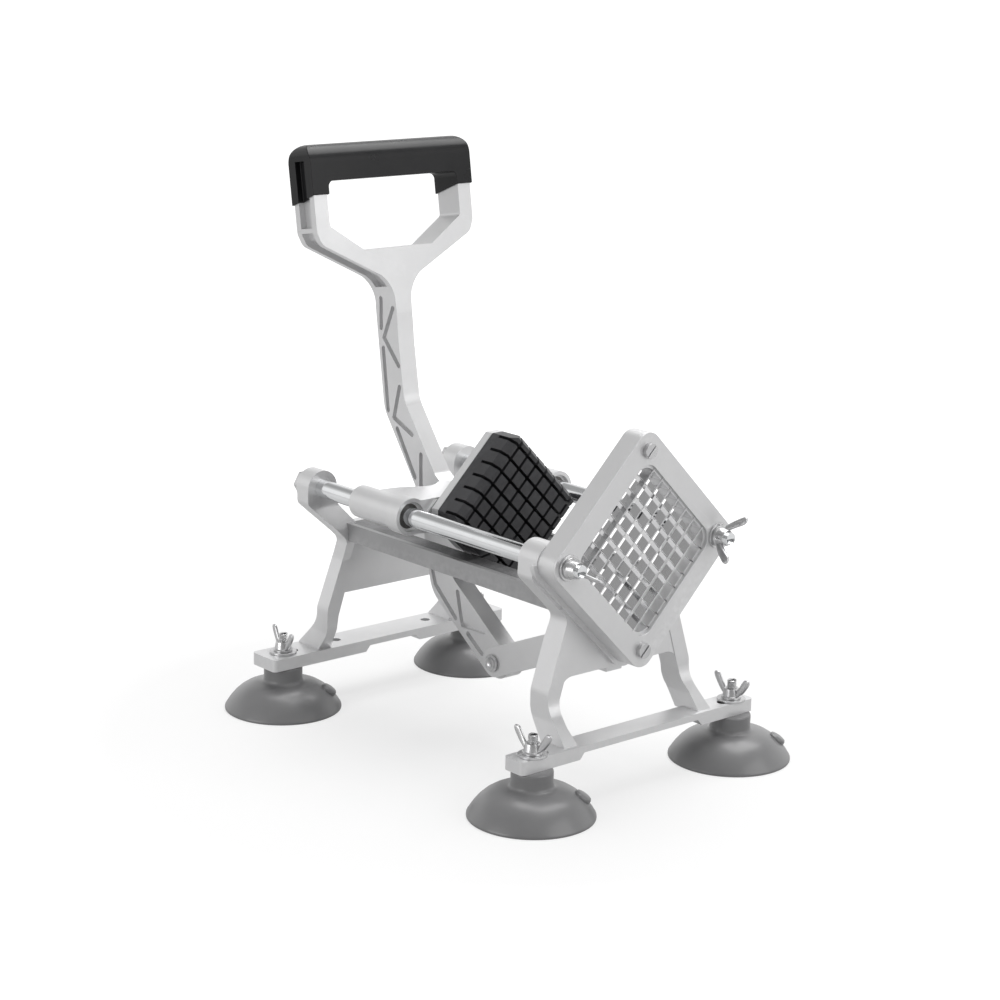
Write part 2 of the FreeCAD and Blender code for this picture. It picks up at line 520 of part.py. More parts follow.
def carriage():
    """Sliding casting: two hubs, a beam with ears for the lever, and the pusher's plate."""
    pieces = []
    for side in (-1.0, 1.0):
        pieces.append(bar("y", HUB_R, BEAM_Y, HUB_REAR_Y, side * ROD_X, ROD_Z))
        pieces.append(bar("y", HUB_RING_R, BEAM_Y, BEAM_Y + 12.0, side * ROD_X, ROD_Z))
    low = ROD_Z - 18.3
    wall = [(-ROD_X, low + 7.0), (-30.0, low + 5.0, 10.0), (-16.0, low, 6.0), (16.0, low, 6.0),
            (30.0, low + 5.0, 10.0), (ROD_X, low + 7.0), (ROD_X, BEAM_TOP_Z), (-ROD_X, BEAM_TOP_Z)]
    pieces.append(plate("y", wall, BEAM_Y, BEAM_Y + BEAM_WALL))
    back = PIVOT_Y + 10.0
    flange = [(-ROD_X, BEAM_Y), (ROD_X, BEAM_Y), (ROD_X, back + 6.0), (ROD_X - 15.5, back + 4.0, 12.0),
              (EAR_OUT + 6.0, back - 8.0, 12.0), (EAR_OUT, back, 4.0), (-EAR_OUT, back, 4.0),
              (-EAR_OUT - 6.0, back - 8.0, 12.0), (-ROD_X + 15.5, back + 4.0, 12.0), (-ROD_X, back + 6.0)]
    pieces.append(plate("z", flange, BEAM_TOP_Z - 4.0, BEAM_TOP_Z))
    ear = [(BEAM_Y + 3.0, BEAM_TOP_Z - 1.0), (back, BEAM_TOP_Z - 1.0, 5.0), (back, PIVOT_Z - 11.0, 9.0),
           (BEAM_Y + 3.0, low)]
    pieces += both(plate("x", ear, EAR_IN, EAR_OUT))
    half = PLATE_SIDE / math.sqrt(2.0)
    tips = [(TIP_HALF, ROD_Z + half - TIP_HALF, 1.5), (half - TIP_HALF, ROD_Z + TIP_HALF, 1.5),
            (-half + TIP_HALF, ROD_Z + TIP_HALF, 1.5), (-TIP_HALF, ROD_Z + half - TIP_HALF, 1.5),
            (-TIP_HALF, ROD_Z - half + TIP_HALF, 1.5), (-half + TIP_HALF, ROD_Z - TIP_HALF, 1.5),
            (half - TIP_HALF, ROD_Z - TIP_HALF, 1.5), (TIP_HALF, ROD_Z - half + TIP_HALF, 1.5)]
    pieces.append(plate("y", tips, BLOCK_BACK_Y, PLATE_Y))
    pieces.append(plate("y", [(-16.0, low, 4.0), (16.0, low, 4.0), (22.0, BEAM_TOP_Z, 4.0),
                              (-22.0, BEAM_TOP_Z, 4.0)], PLATE_Y - 1.0, BEAM_Y + 1.0))
    pieces += both(capsule("y", (TIP_HALF - 5.7, ROD_Z + 7.4), (TIP_HALF + 1.0, ROD_Z + 1.0), 2.6, PLATE_Y + 1.8, BEAM_Y + 1.0))
    body = united(pieces)
    cuts = [block(-EAR_IN, EAR_IN, BEAM_Y + BEAM_WALL, HUB_REAR_Y + 1.0, low - 5.0, BEAM_TOP_Z + 5.0)]
    for side in (-1.0, 1.0):
        cuts.append(bar("y", BUSH_R, BEAM_Y + 3.0, HUB_REAR_Y + 1.0, side * ROD_X, ROD_Z))
        cuts.append(bar("y", BUSH_R + 1.6, BEAM_Y - 1.0, BEAM_Y + 3.0, side * ROD_X, ROD_Z))
        cuts.append(bar("y", SCREW_SHANK_R, BLOCK_BACK_Y - 1.0, PLATE_Y + 1.0, 0.0, ROD_Z + side * PUSHER_SCREW_OFFSET))
    cuts.append(bar("x", PIVOT_R, -EAR_OUT - 1.0, EAR_OUT + 1.0, PIVOT_Y, PIVOT_Z))
    return body.cut(cuts)


def pusher_block():
    """Square block of studs that push the potato through the blades."""
    reach = BLOCK_SIDE / 2.0
    bevel_y = STUD_TIP_Y + 4.6
    top = 3.4
    square = diamond(BLOCK_SIDE, 0.0, bevel_y, BLOCK_BACK_Y)
    lower = outline("y", [(c[0] * reach * math.sqrt(2.0), ROD_Z + c[1] * reach * math.sqrt(2.0))
                          for c in ((1, 0), (0, 1), (-1, 0), (0, -1))], bevel_y)
    upper = outline("y", [(c[0] * (reach - top) * math.sqrt(2.0), ROD_Z + c[1] * (reach - top) * math.sqrt(2.0))
                          for c in ((1, 0), (0, 1), (-1, 0), (0, -1))], STUD_TIP_Y)
    body = square.fuse(Part.makeLoft([lower, upper], True))
    body = body.common(block(-TIP_HALF, TIP_HALF, STUD_TIP_Y - 1.0, BLOCK_BACK_Y + 1.0,
                             ROD_Z - TIP_HALF, ROD_Z + TIP_HALF)).removeSplitter()
    cuts = []
    first = -(BLADE_COUNT - 1) / 2.0 * BLADE_PITCH
    for turn in (45.0, -45.0):
        for i in range(BLADE_COUNT):
            cuts.append(strip(60.0, first + i * BLADE_PITCH, GROOVE_W, STUD_TIP_Y - 1.0, BASE_FRONT_Y, turn))
    for side in (-1.0, 1.0):
        cuts.append(bar("y", SCREW_SHANK_R, BASE_FRONT_Y + 1.5, BLOCK_BACK_Y + 1.0, 0.0, ROD_Z + side * PUSHER_SCREW_OFFSET))
    return body.cut(cuts)


def pusher_screw(side):
    """Round-head screw through the plate into the block."""
    z = ROD_Z + side * PUSHER_SCREW_OFFSET
    return bar("y", SCREW_HEAD_R, PLATE_Y, PLATE_Y + SCREW_HEAD_H, 0.0, z).fuse(
        bar("y", SCREW_SHANK_R, BASE_FRONT_Y + 1.5, PLATE_Y + 0.5, 0.0, z))


# Lever outline in the YZ plane, measured from its pivot
SHANK = [(86.6, 118.0), (85.2, 108.4), (76.4, 49.8, 24.0), (39.1, -1.6, 22.0), (24.5, -63.8, 22.0),
         (-33.4, -106.0, 8.0), (-48.5, -107.5, 11.0), (-57.0, -96.0, 9.5), (-51.0, -89.0, 8.0),
         (8.0, -46.8, 8.0), (-13.0, -24.0, 14.0), (-15.5, -16.0, 6.0), (-15.5, -2.0, 6.0), (-8.0, 12.1, 9.0),
         (4.0, 12.1, 6.0), (14.6, 9.9, 9.0), (22.6, 15.0, 12.0), (55.4, 58.8, 20.0), (61.6, 95.2), (64.4, 118.0)]

# Grooves in the lever's sides, measured from its pivot
GROOVES = [[(80.8, 123.0), (80.4, 103.7)],
           [(68.4, 118.1), (77.2, 97.6), (61.8, 81.0)],
           [(78.0, 90.2), (72.4, 49.6)],
           [(60.6, 66.7), (66.0, 45.6), (47.0, 37.4)],
           [(62.4, 38.4), (43.4, 9.4)],
           [(37.4, 25.4), (37.0, 4.6), (29.8, 1.0)],
           [(26.5, -42.0), (20.7, -58.6), (-0.4, -76.6)],
           [(-2.1, -58.9), (-7.3, -79.6), (-29.0, -79.3)],
           [(-13.4, -84.6), (-27.4, -94.2)]]


def lean(shape):
    """Turn a shape built upright on the handle's base line back to the handle's lean."""
    shape.rotate(FreeCAD.Vector(0, 0, 0), FreeCAD.Vector(1, 0, 0), -HANDLE_LEAN)
    shape.translate(FreeCAD.Vector(0.0, PIVOT_Y + 55.2, PIVOT_Z + 60.0))
    return shape


def handle_outline(grow):
    """Outer outline of the D handle, as (x, height), grown outwards near the top."""
    w = HANDLE_HALF_W + grow
    top = HANDLE_RISE + grow
    edge = [(LEVER_HALF, 56.0), (LEVER_HALF, 72.5, 22.0), (LEVER_HALF + 9.0, 81.6, 12.0),
            (HANDLE_HALF_W - 3.3, 105.0, 8.0), (w, 113.0, 8.0), (w, top, 6.0 + grow)]
    return edge + [(-p[0], p[1]) + p[2:] for p in reversed(edge)]


def handle_hole(shrink):
    """Inner outline of the D handle."""
    w = HANDLE_HALF_W - HANDLE_WALL - shrink
    top = HANDLE_RISE - HANDLE_BAR - shrink
    edge = [(27.8, 99.2, 2.0), (w, 116.4, 3.0), (w, top, 4.0)]
    return edge + [(-p[0], p[1]) + p[2:] for p in reversed(edge)]


def arch(y0, y1, low, top, radius):
    """Side view of the handle: straight sides and a round top."""
    points = [(y0, low), (y1, low), (y1, top, radius), (y0, top, radius)]
    return plate("x", points, -HANDLE_HALF_W - 10.0, HANDLE_HALF_W + 10.0)


def handle_shape():
    """D handle with channelled outer faces, standing on its base line."""
    deep = HANDLE_DEPTH
    body = plate("y", handle_outline(0.0), 0.0, deep)
    body = body.common(arch(0.0, deep, 50.0, HANDLE_RISE, deep / 2.0 - 0.05))
    body = body.cut(plate("y", handle_hole(0.0), -1.0, deep + 1.0))
    wide = deep - 2.0 * CHANNEL_INSET
    band = Part.Face(outline("y", handle_outline(0.0), CHANNEL_INSET))
    inner = band.makeOffset2D(-CHANNEL_DEPTH)
    channel = band.cut(inner).extrude(FreeCAD.Vector(0, wide, 0))
    reach = HANDLE_HALF_W + 10.0
    keep = block(-reach, reach, 0.0, deep, 72.5, HANDLE_RISE - 7.7)
    for z in (72.5, 114.5):
        keep = keep.cut(block(-reach, reach, 0.0, deep, z - 1.5, z + 1.5))
    return body.cut(channel.common(keep))


def lever():
    """Cast lever: ribbed shank, crank arm and D handle."""
    points = [(PIVOT_Y + p[0], PIVOT_Z + p[1]) + p[2:] for p in SHANK]
    body = united([plate("x", points, -LEVER_HALF, LEVER_HALF), lean(handle_shape())])
    cuts = []
    for path in GROOVES:
        for i in range(len(path) - 1):
            p = (PIVOT_Y + path[i][0], PIVOT_Z + path[i][1])
            q = (PIVOT_Y + path[i + 1][0], PIVOT_Z + path[i + 1][1])
            groove = capsule("x", p, q, GROOVE_WIDTH, LEVER_HALF - GROOVE_DEPTH, LEVER_HALF + 1.0)
            cuts += both(groove)
    cuts.append(bar("x", PIVOT_R + RUNNING_GAP, -LEVER_HALF - 1.0, LEVER_HALF + 1.0, PIVOT_Y, PIVOT_Z))
    cuts.append(bar("x", LINK_PIN_R, -LEVER_HALF - 1.0, LEVER_HALF + 1.0, CRANK_Y, CRANK_Z))
    return body.cut(cuts)


def handle_grip():
    """Dipped vinyl skin over the crossbar, the tops of the arms and their channels."""
    deep = HANDLE_DEPTH
    skin = GRIP_SKIN
    reach = HANDLE_HALF_W + 10.0
    body = plate("y", handle_outline(skin), -skin, deep + skin)
    body = body.common(arch(-skin, deep + skin, 120.0, HANDLE_RISE + skin, deep / 2.0 + skin - 0.05))
    body = body.cut(plate("y", handle_hole(skin), -10.0, deep + 10.0))
    floor_x = HANDLE_HALF_W - CHANNEL_DEPTH + skin
    side_open = block(-reach, reach, CHANNEL_INSET + skin, deep - CHANNEL_INSET - skin, 100.0,
                      HANDLE_RISE - 7.7 - skin).cut(block(-floor_x, floor_x, 0.0, deep, 90.0, HANDLE_RISE))
    dip = plate("x", [(-10.0, 100.0), (40.0, 100.0), (40.0, 127.0), (-10.0, 139.0)], -reach, reach)
    return lean(body.cut([handle_shape(), side_open, dip]))


def link(side):
    """Flat link from the crank to the front frame's lug."""
    low, high = EAR_IN, LINK_OUT
    body = capsule("x", (CRANK_Y, CRANK_Z), (FRONT_PIN_Y, FRONT_PIN_Z), LINK_END_R * 2.0, low, high)
    body = body.removeSplitter()
    body = body.cut([bar("x", LINK_PIN_R + RUNNING_GAP, 0.0, 20.0, CRANK_Y, CRANK_Z),
                     bar("x", LINK_PIN_R, 0.0, 20.0, FRONT_PIN_Y, FRONT_PIN_Z)])
    return body if side > 0 else mirrored(body)


def cross_pin(radius, half, y, z):
    """Pin across the cutter, with a turned groove near each end for its clip."""
    body = bar("x", radius, -half, half, y, z)
    for side in (-1.0, 1.0):
        centre = side * (half - 1.6)
        body = body.cut(ring("x", radius + 1.0, radius - 0.7, centre - 0.5, centre + 0.5, y, z))
    return body


def pin_clip(radius, half, y, z, side, seat):
    """Retaining ring seated in a pin's groove against the part it holds."""
    centre = side * (half - 1.6)
    ring_part = ring("x", radius + 1.8, radius - 0.7, centre - 0.5, centre + 0.5, y, z)
    face = side * seat
    low, high = min(face, centre - side * 0.5), max(face, centre - side * 0.5)
    if high - low < 0.05:
        return ring_part
    return ring_part.fuse(ring("x", radius + 1.3, radius, low, high, y, z))


def cup_stud(x, y):
    """Threaded stud moulded into a cup."""
    return bar("z", STUD_R, 17.0, STUD_TOP_Z, x, y)


def cup_washer(x, y):
    """Flat washer under a cup's wing nut."""
    return ring("z", 9.0, STUD_R, FOOT_BAR_Z, FOOT_BAR_Z + WASHER_T, x, y)


os.makedirs("parts", exist_ok=True)

FEET = [("front_left", -FOOT_X, -FOOT_Y, 95.0), ("front_right", FOOT_X, -FOOT_Y, 90.0),
        ("rear_left", -FOOT_X, FOOT_Y, 80.0), ("rear_right", FOOT_X - CUP_SHIFT, FOOT_Y, 90.0)]

save(front_frame(), "front_frame")
save(rear_frame(), "rear_frame")
right_rail = bed_rail()
save(right_rail, "bed_rail_right")
save(mirrored(right_rail), "bed_rail_left")
right_rod = guide_rod()
save(right_rod, "guide_rod_right")
save(mirrored(right_rod), "guide_rod_left")
save(group(both(rod_nut())), "rod_nuts")
for name, x, y, turn in FEET:
    save(suction_cup(x, y), "suction_cup_" + name)
    save(cup_wing_nut(x, y, turn), "wing_nut_" + name)
save(group([cup_stud(x, y) for name, x, y, turn in FEET]), "cup_studs")
save(group([cup_washer(x, y) for name, x, y, turn in FEET]), "cup_washers")

save(cutter_housing(), "cutter_housing")
save(cover_plate(), "cover_plate")
save(group(blade_slots(BLADE_THICK, HOUSING_FRONT_Y + 0.1, FRONT_BLADE_Y, 45.0)), "blades_front")
save(group(blade_slots(BLADE_THICK, REAR_BLADE_Y, REAR_BLADE_Y + REAR_BLADE_DEPTH, -45.0)), "blades_rear")
save(group([cover_screw(1.0), cover_screw(-1.0)]), "cover_screws")
save(group(both(ring("y", 8.0, ROD_END_R + CLEAR_GAP, COVER_FRONT_Y - WASHER_T, COVER_FRONT_Y,
                     ROD_X, ROD_Z))), "cartridge_washers")
save(cartridge_wing_nut(1.0, 56.0), "cartridge_wing_nut_right")
save(cartridge_wing_nut(-1.0, -33.0), "cartridge_wing_nut_left")

save(carriage(), "carriage")
save(group(both(ring("y", BUSH_R, ROD_R + RUNNING_GAP, BEAM_Y + 3.0, HUB_REAR_Y - 1.0, ROD_X, ROD_Z))),
     "hub_bushes")
save(pusher_block(), "pusher_block")
save(group([pusher_screw(1.0), pusher_screw(-1.0)]), "pusher_screws")
save(cross_pin(PIVOT_R, EAR_OUT + 3.0, PIVOT_Y, PIVOT_Z), "lever_pivot_pin")
save(group([pin_clip(PIVOT_R, EAR_OUT + 3.0, PIVOT_Y, PIVOT_Z, side, EAR_OUT) for side in (-1.0, 1.0)]),
     "pivot_clips")

save(lever(), "lever")
save(handle_grip(), "handle_grip")
save(cross_pin(LINK_PIN_R, LINK_OUT + 3.0, CRANK_Y, CRANK_Z), "crank_pin")
save(group([pin_clip(LINK_PIN_R, LINK_OUT + 3.0, CRANK_Y, CRANK_Z, side, LINK_OUT + SIDE_GAP)
            for side in (-1.0, 1.0)]), "crank_pin_clips")
save(link(1.0), "link_right")
save(link(-1.0), "link_left")
save(cross_pin(LINK_PIN_R, LINK_OUT + 3.0, FRONT_PIN_Y, FRONT_PIN_Z), "front_link_pin")
save(group([pin_clip(LINK_PIN_R, LINK_OUT + 3.0, FRONT_PIN_Y, FRONT_PIN_Z, side, LINK_OUT)
            for side in (-1.0, 1.0)]), "front_pin_clips")
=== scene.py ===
"""Looks of a lever-action potato cutter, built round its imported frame.

Every length is in metres, in the frame's own axes: X across the cutter, Y from the blades
(-Y) to the rear nuts (+Y), Z up from the table.
"""

import json
import logging
import math
from dataclasses import dataclass, field
from enum import Enum
from typing import Sequence

import bpy
from mathutils import Matrix, Vector

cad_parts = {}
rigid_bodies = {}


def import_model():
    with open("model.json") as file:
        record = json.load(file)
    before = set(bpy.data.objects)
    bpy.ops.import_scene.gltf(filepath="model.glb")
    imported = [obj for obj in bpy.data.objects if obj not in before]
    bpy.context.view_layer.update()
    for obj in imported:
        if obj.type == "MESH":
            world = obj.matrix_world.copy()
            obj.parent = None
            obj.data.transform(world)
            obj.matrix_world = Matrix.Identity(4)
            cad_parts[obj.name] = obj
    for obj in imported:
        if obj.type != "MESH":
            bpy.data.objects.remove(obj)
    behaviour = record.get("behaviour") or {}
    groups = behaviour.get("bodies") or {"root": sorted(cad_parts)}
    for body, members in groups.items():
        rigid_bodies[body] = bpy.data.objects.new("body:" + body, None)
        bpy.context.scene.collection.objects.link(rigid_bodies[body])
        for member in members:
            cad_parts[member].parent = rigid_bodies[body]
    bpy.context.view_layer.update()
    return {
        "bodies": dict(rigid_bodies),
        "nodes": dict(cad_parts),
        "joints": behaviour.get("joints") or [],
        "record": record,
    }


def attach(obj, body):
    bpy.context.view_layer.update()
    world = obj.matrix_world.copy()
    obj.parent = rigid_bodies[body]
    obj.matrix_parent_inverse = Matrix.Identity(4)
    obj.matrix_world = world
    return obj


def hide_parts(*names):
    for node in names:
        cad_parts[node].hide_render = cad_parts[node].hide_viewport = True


LOG = logging.getLogger("fry_cutter")
MM = 0.001
# Greatest distance of two points that become one.
WELD = 2e-6

# A screw thread's proportions, as shares of its pitch, and the steps round one turn.
THREAD_DEPTH = 0.55
THREAD_FLANK = 0.42
THREAD_CREST = 0.1
THREAD_ROOT = 0.06
THREAD_STEPS = 28

Point = tuple[float, float]
Place = tuple[float, float, float]
Colour = tuple[float, float, float]
Slice = tuple[float, float, float, float]
Piece = bpy.types.Object
Node = bpy.types.Node
NodeTree = bpy.types.NodeTree
Socket = bpy.types.NodeSocket


# Modelling helpers

class Side(Enum):
    """The two sides of the middle plane."""

    LEFT = -1.0
    RIGHT = 1.0


def deselect() -> None:
    """Leave edit mode and select nothing."""
    if bpy.context.object and bpy.context.object.mode != "OBJECT":
        bpy.ops.object.mode_set(mode="OBJECT")
    bpy.ops.object.select_all(action="DESELECT")


def pick(obj: Piece) -> None:
    """Select one object alone and make it active.

    Args:
        obj: The object to work on.
    """
    deselect()
    obj.select_set(True)
    bpy.context.view_layer.objects.active = obj


def named(name: str) -> Piece:
    """Name the object that a primitive operator has just made.

    Args:
        name: Name of the piece.

    Returns:
        The new object.
    """
    obj = bpy.context.object
    obj.name = name
    obj.data.name = name
    return obj


def settle(obj: Piece) -> Piece:
    """Apply an object's place, turn and scale to its mesh.

    Args:
        obj: The object to settle.

    Returns:
        The same object, at the origin.
    """
    pick(obj)
    bpy.ops.object.transform_apply(location=True, rotation=True, scale=True)
    return obj


def apply_all(obj: Piece) -> None:
    """Apply an object's modifiers in order.

    Args:
        obj: The object whose modifiers become mesh.
    """
    pick(obj)
    for name in [modifier.name for modifier in obj.modifiers]:
        bpy.ops.object.modifier_apply(modifier=name)


def edit(obj: Piece) -> None:
    """Open a piece in edit mode with all of it selected.

    Args:
        obj: The piece.
    """
    pick(obj)
    bpy.ops.object.mode_set(mode="EDIT")
    bpy.ops.mesh.select_all(action="SELECT")


def seed(name: str, place: Sequence[float]) -> Piece:
    """Start a piece as one point, open in edit mode.

    Args:
        name: Name of the piece.
        place: Where the point stands.

    Returns:
        The new piece.
    """
    deselect()
    bpy.ops.mesh.primitive_plane_add(size=MM)
    obj = named(name)
    edit(obj)
    bpy.ops.mesh.merge(type="CENTER")
    bpy.ops.transform.translate(value=place)
    return obj


def clean_up(obj: Piece, merge: float = 1e-6) -> None:
    """Merge doubles and turn faces outwards.

    Args:
        obj: The object to mend.
        merge: Greatest distance of two points that become one.
    """
    edit(obj)
    bpy.ops.mesh.remove_doubles(threshold=merge)
    bpy.ops.mesh.normals_make_consistent(inside=False)
    bpy.ops.object.mode_set(mode="OBJECT")


def shade(obj: Piece, degrees: float = 35.0) -> None:
    """Shade a piece smooth, with sharp edges over an angle and level flats beside its rounds.

    Args:
        obj: The piece.
        degrees: Angle from which an edge stays sharp.
    """
    pick(obj)
    bpy.ops.object.shade_smooth_by_angle(angle=math.radians(degrees))
    modifier = obj.modifiers.new("level_flats", "WEIGHTED_NORMAL")
    modifier.mode = "FACE_AREA"
    modifier.weight = 60
    modifier.keep_sharp = True
    bpy.ops.object.modifier_apply(modifier=modifier.name)


def bevel(obj: Piece, width: float, segments: int = 3, degrees: float = 32.0) -> None:
    """Round a piece's edges.

    Args:
        obj: The piece.
        width: Width of the round.
        segments: Steps across it.
        degrees: Angle from which an edge is rounded.
    """
    modifier = obj.modifiers.new("round", "BEVEL")
    modifier.width = width
    modifier.segments = segments
    modifier.limit_method = "ANGLE"
    modifier.angle_limit = math.radians(degrees)
    modifier.miter_outer = "MITER_ARC"
    modifier.use_clamp_overlap = True
    modifier.harden_normals = False
    apply_all(obj)


def join(name: str, parts: Sequence[Piece]) -> Piece:
    """Join several meshes into one piece.

    Args:
        name: Name of the piece.
        parts: The meshes, settled.

    Returns:
        The joined piece.
    """
    deselect()
    for part in parts:
        part.select_set(True)
    bpy.context.view_layer.objects.active = parts[0]
    if len(parts) > 1:
        bpy.ops.object.join()
    return named(name)


def twin(obj: Piece, name: str) -> Piece:
    """Copy a piece with a mesh of its own.

    Args:
        obj: The piece to copy.
        name: Name of the copy.

    Returns:
        The copy.
    """
    pick(obj)
    bpy.ops.object.duplicate(linked=False)
    return named(name)


def seat_of(node: Piece, name: str) -> Piece:
    """Copy a frame node's mesh as one welded, many-sided surface.

    Args:
        node: The frame's own object, which stays as it is.
        name: Name of the copy.

    Returns:
        A new piece, welded and with its flat triangles joined.
    """
    mesh = node.data.copy()
    mesh.materials.clear()
    obj = bpy.data.objects.new(name, mesh)
    bpy.context.scene.collection.objects.link(obj)
    mesh.name = name
    edit(obj)
    bpy.ops.mesh.remove_doubles(threshold=WELD)
    bpy.ops.mesh.dissolve_limited(angle_limit=math.radians(1.0))
    bpy.ops.object.mode_set(mode="OBJECT")
    return obj


def lathe(name: str, profile: Sequence[Point], steps: int = 64, turn: float = 360.0) -> Piece:
    """Turn a profile in millimetres about Z, as on a lathe.

    Args:
        name: Name of the piece.
        profile: Points (radius, height) in order, from axis to axis for a solid.
        steps: Steps round the turn.
        turn: Degrees turned; under 360 the ends are closed with a face.

    Returns:
        The turned piece, about the origin's Z axis.
    """
    first = profile[0]
    obj = seed(name, (first[0] * MM, 0.0, first[1] * MM))
    for here, there in zip(profile, profile[1:]):
        step = ((there[0] - here[0]) * MM, 0.0, (there[1] - here[1]) * MM)
        bpy.ops.mesh.extrude_region_move(TRANSFORM_OT_translate={"value": step})
    bpy.ops.mesh.select_all(action="SELECT")
    bpy.ops.mesh.remove_doubles(threshold=WELD)
    bpy.ops.mesh.spin(steps=steps, angle=math.radians(turn), center=(0, 0, 0), axis=(0, 0, 1))
    bpy.ops.mesh.select_all(action="SELECT")
    bpy.ops.mesh.remove_doubles(threshold=WELD)
    if turn < 359.0:
        bpy.ops.mesh.select_all(action="DESELECT")
        bpy.ops.mesh.select_non_manifold()
        bpy.ops.mesh.fill_holes(sides=0)
    bpy.ops.object.mode_set(mode="OBJECT")
    clean_up(obj, WELD)
    return obj


def stacked(name: str, slices: Sequence[Slice], levels: int) -> Piece:
    """Draw a rounded limb up through level slices in millimetres.

    Args:
        name: Name of the piece.
        slices: For each slice its height, middle in X, half width in X and half width in Y.
        levels: Times the limb is subdivided.

    Returns:
        The closed limb.
    """
    height, middle, half_x, half_y = slices[0]
    deselect()
    bpy.ops.mesh.primitive_plane_add(size=2.0 * MM, location=(middle * MM, 0.0, height * MM))
    obj = named(name)
    obj.scale = (half_x, half_y, 1.0)
    settle(obj)
    edit(obj)
    for here, there in zip(slices, slices[1:]):
        rise = ((there[1] - here[1]) * MM, 0.0, (there[0] - here[0]) * MM)
        bpy.ops.mesh.extrude_region_move(TRANSFORM_OT_translate={"value": rise})
        bpy.ops.transform.resize(value=(there[2] / here[2], there[3] / here[3], 1.0),
                                 center_override=(there[1] * MM, 0.0, there[0] * MM))
    bpy.ops.object.mode_set(mode="OBJECT")
    clean_up(obj)
    if levels > 0:
        modifier = obj.modifiers.new("smooth", "SUBSURF")
        modifier.levels = levels
        modifier.render_levels = levels
        apply_all(obj)
    return obj


def mirrored(obj: Piece, name: str) -> Piece:
    """Mirror a copy of a settled piece across the middle plane.

    Args:
        obj: The piece to mirror.
        name: Name of the copy.

    Returns:
        The mirrored copy, faces outwards.
    """
    copy = twin(obj, name)
    copy.scale.x = -1.0
    settle(copy)
    clean_up(copy)
    return copy


def screw_thread(name: str, radius: float, pitch: float, length: float) -> Piece:
    """Cut a right-hand thread on a stub that stands on Z, in millimetres.

    Args:
        name: Name of the piece.
        radius: Crest radius.
        pitch: Rise of one turn.
        length: Threaded length, from z = 0.

    Returns:
        The closed stub, cut flat at both ends.
    """
    radius, pitch, length = radius * MM, pitch * MM, length * MM
    root = radius - THREAD_DEPTH * pitch
    turns = int(length / pitch) + 3
    obj = seed(name, (root, 0.0, -1.5 * pitch))
    rise = radius - root
    for out, up in ((rise, THREAD_FLANK), (0.0, THREAD_CREST), (-rise, THREAD_FLANK), (0.0, THREAD_ROOT)):
        bpy.ops.mesh.extrude_region_move(TRANSFORM_OT_translate={"value": (out, 0.0, up * pitch)})
    bpy.ops.object.mode_set(mode="OBJECT")
    modifier = obj.modifiers.new("thread", "SCREW")
    modifier.axis = "Z"
    modifier.angle = math.tau
    modifier.screw_offset = pitch
    modifier.iterations = turns
    modifier.steps = THREAD_STEPS
    modifier.render_steps = THREAD_STEPS
    modifier.use_merge_vertices = True
    modifier.merge_threshold = WELD
    apply_all(obj)
    pick(obj)
    bpy.ops.object.mode_set(mode="EDIT")
    for height, normal in ((0.0, (0.0, 0.0, -1.0)), (length, (0.0, 0.0, 1.0))):
        bpy.ops.mesh.select_all(action="SELECT")
        bpy.ops.mesh.bisect(plane_co=(0.0, 0.0, height), plane_no=normal, use_fill=True, clear_outer=True)
    bpy.ops.object.mode_set(mode="OBJECT")
    clean_up(obj, WELD)
    return obj


def set_about(obj: Piece, place: Sequence[float], turn: Sequence[float] = (0.0, 0.0, 0.0),
              scale: float = 1.0) -> Piece:
    """Put a piece made at the origin in its place and apply it.

    Args:
        obj: The piece.
        place: Where its origin goes, in millimetres.
        turn: Turn about X, Y and Z, in degrees.
        scale: Size factor.

    Returns:
        The settled piece.
    """
    obj.scale = (scale, scale, scale)
    obj.rotation_euler = [math.radians(angle) for angle in turn]
    obj.location = [value * MM for value in place]
    return settle(obj)


# Materials

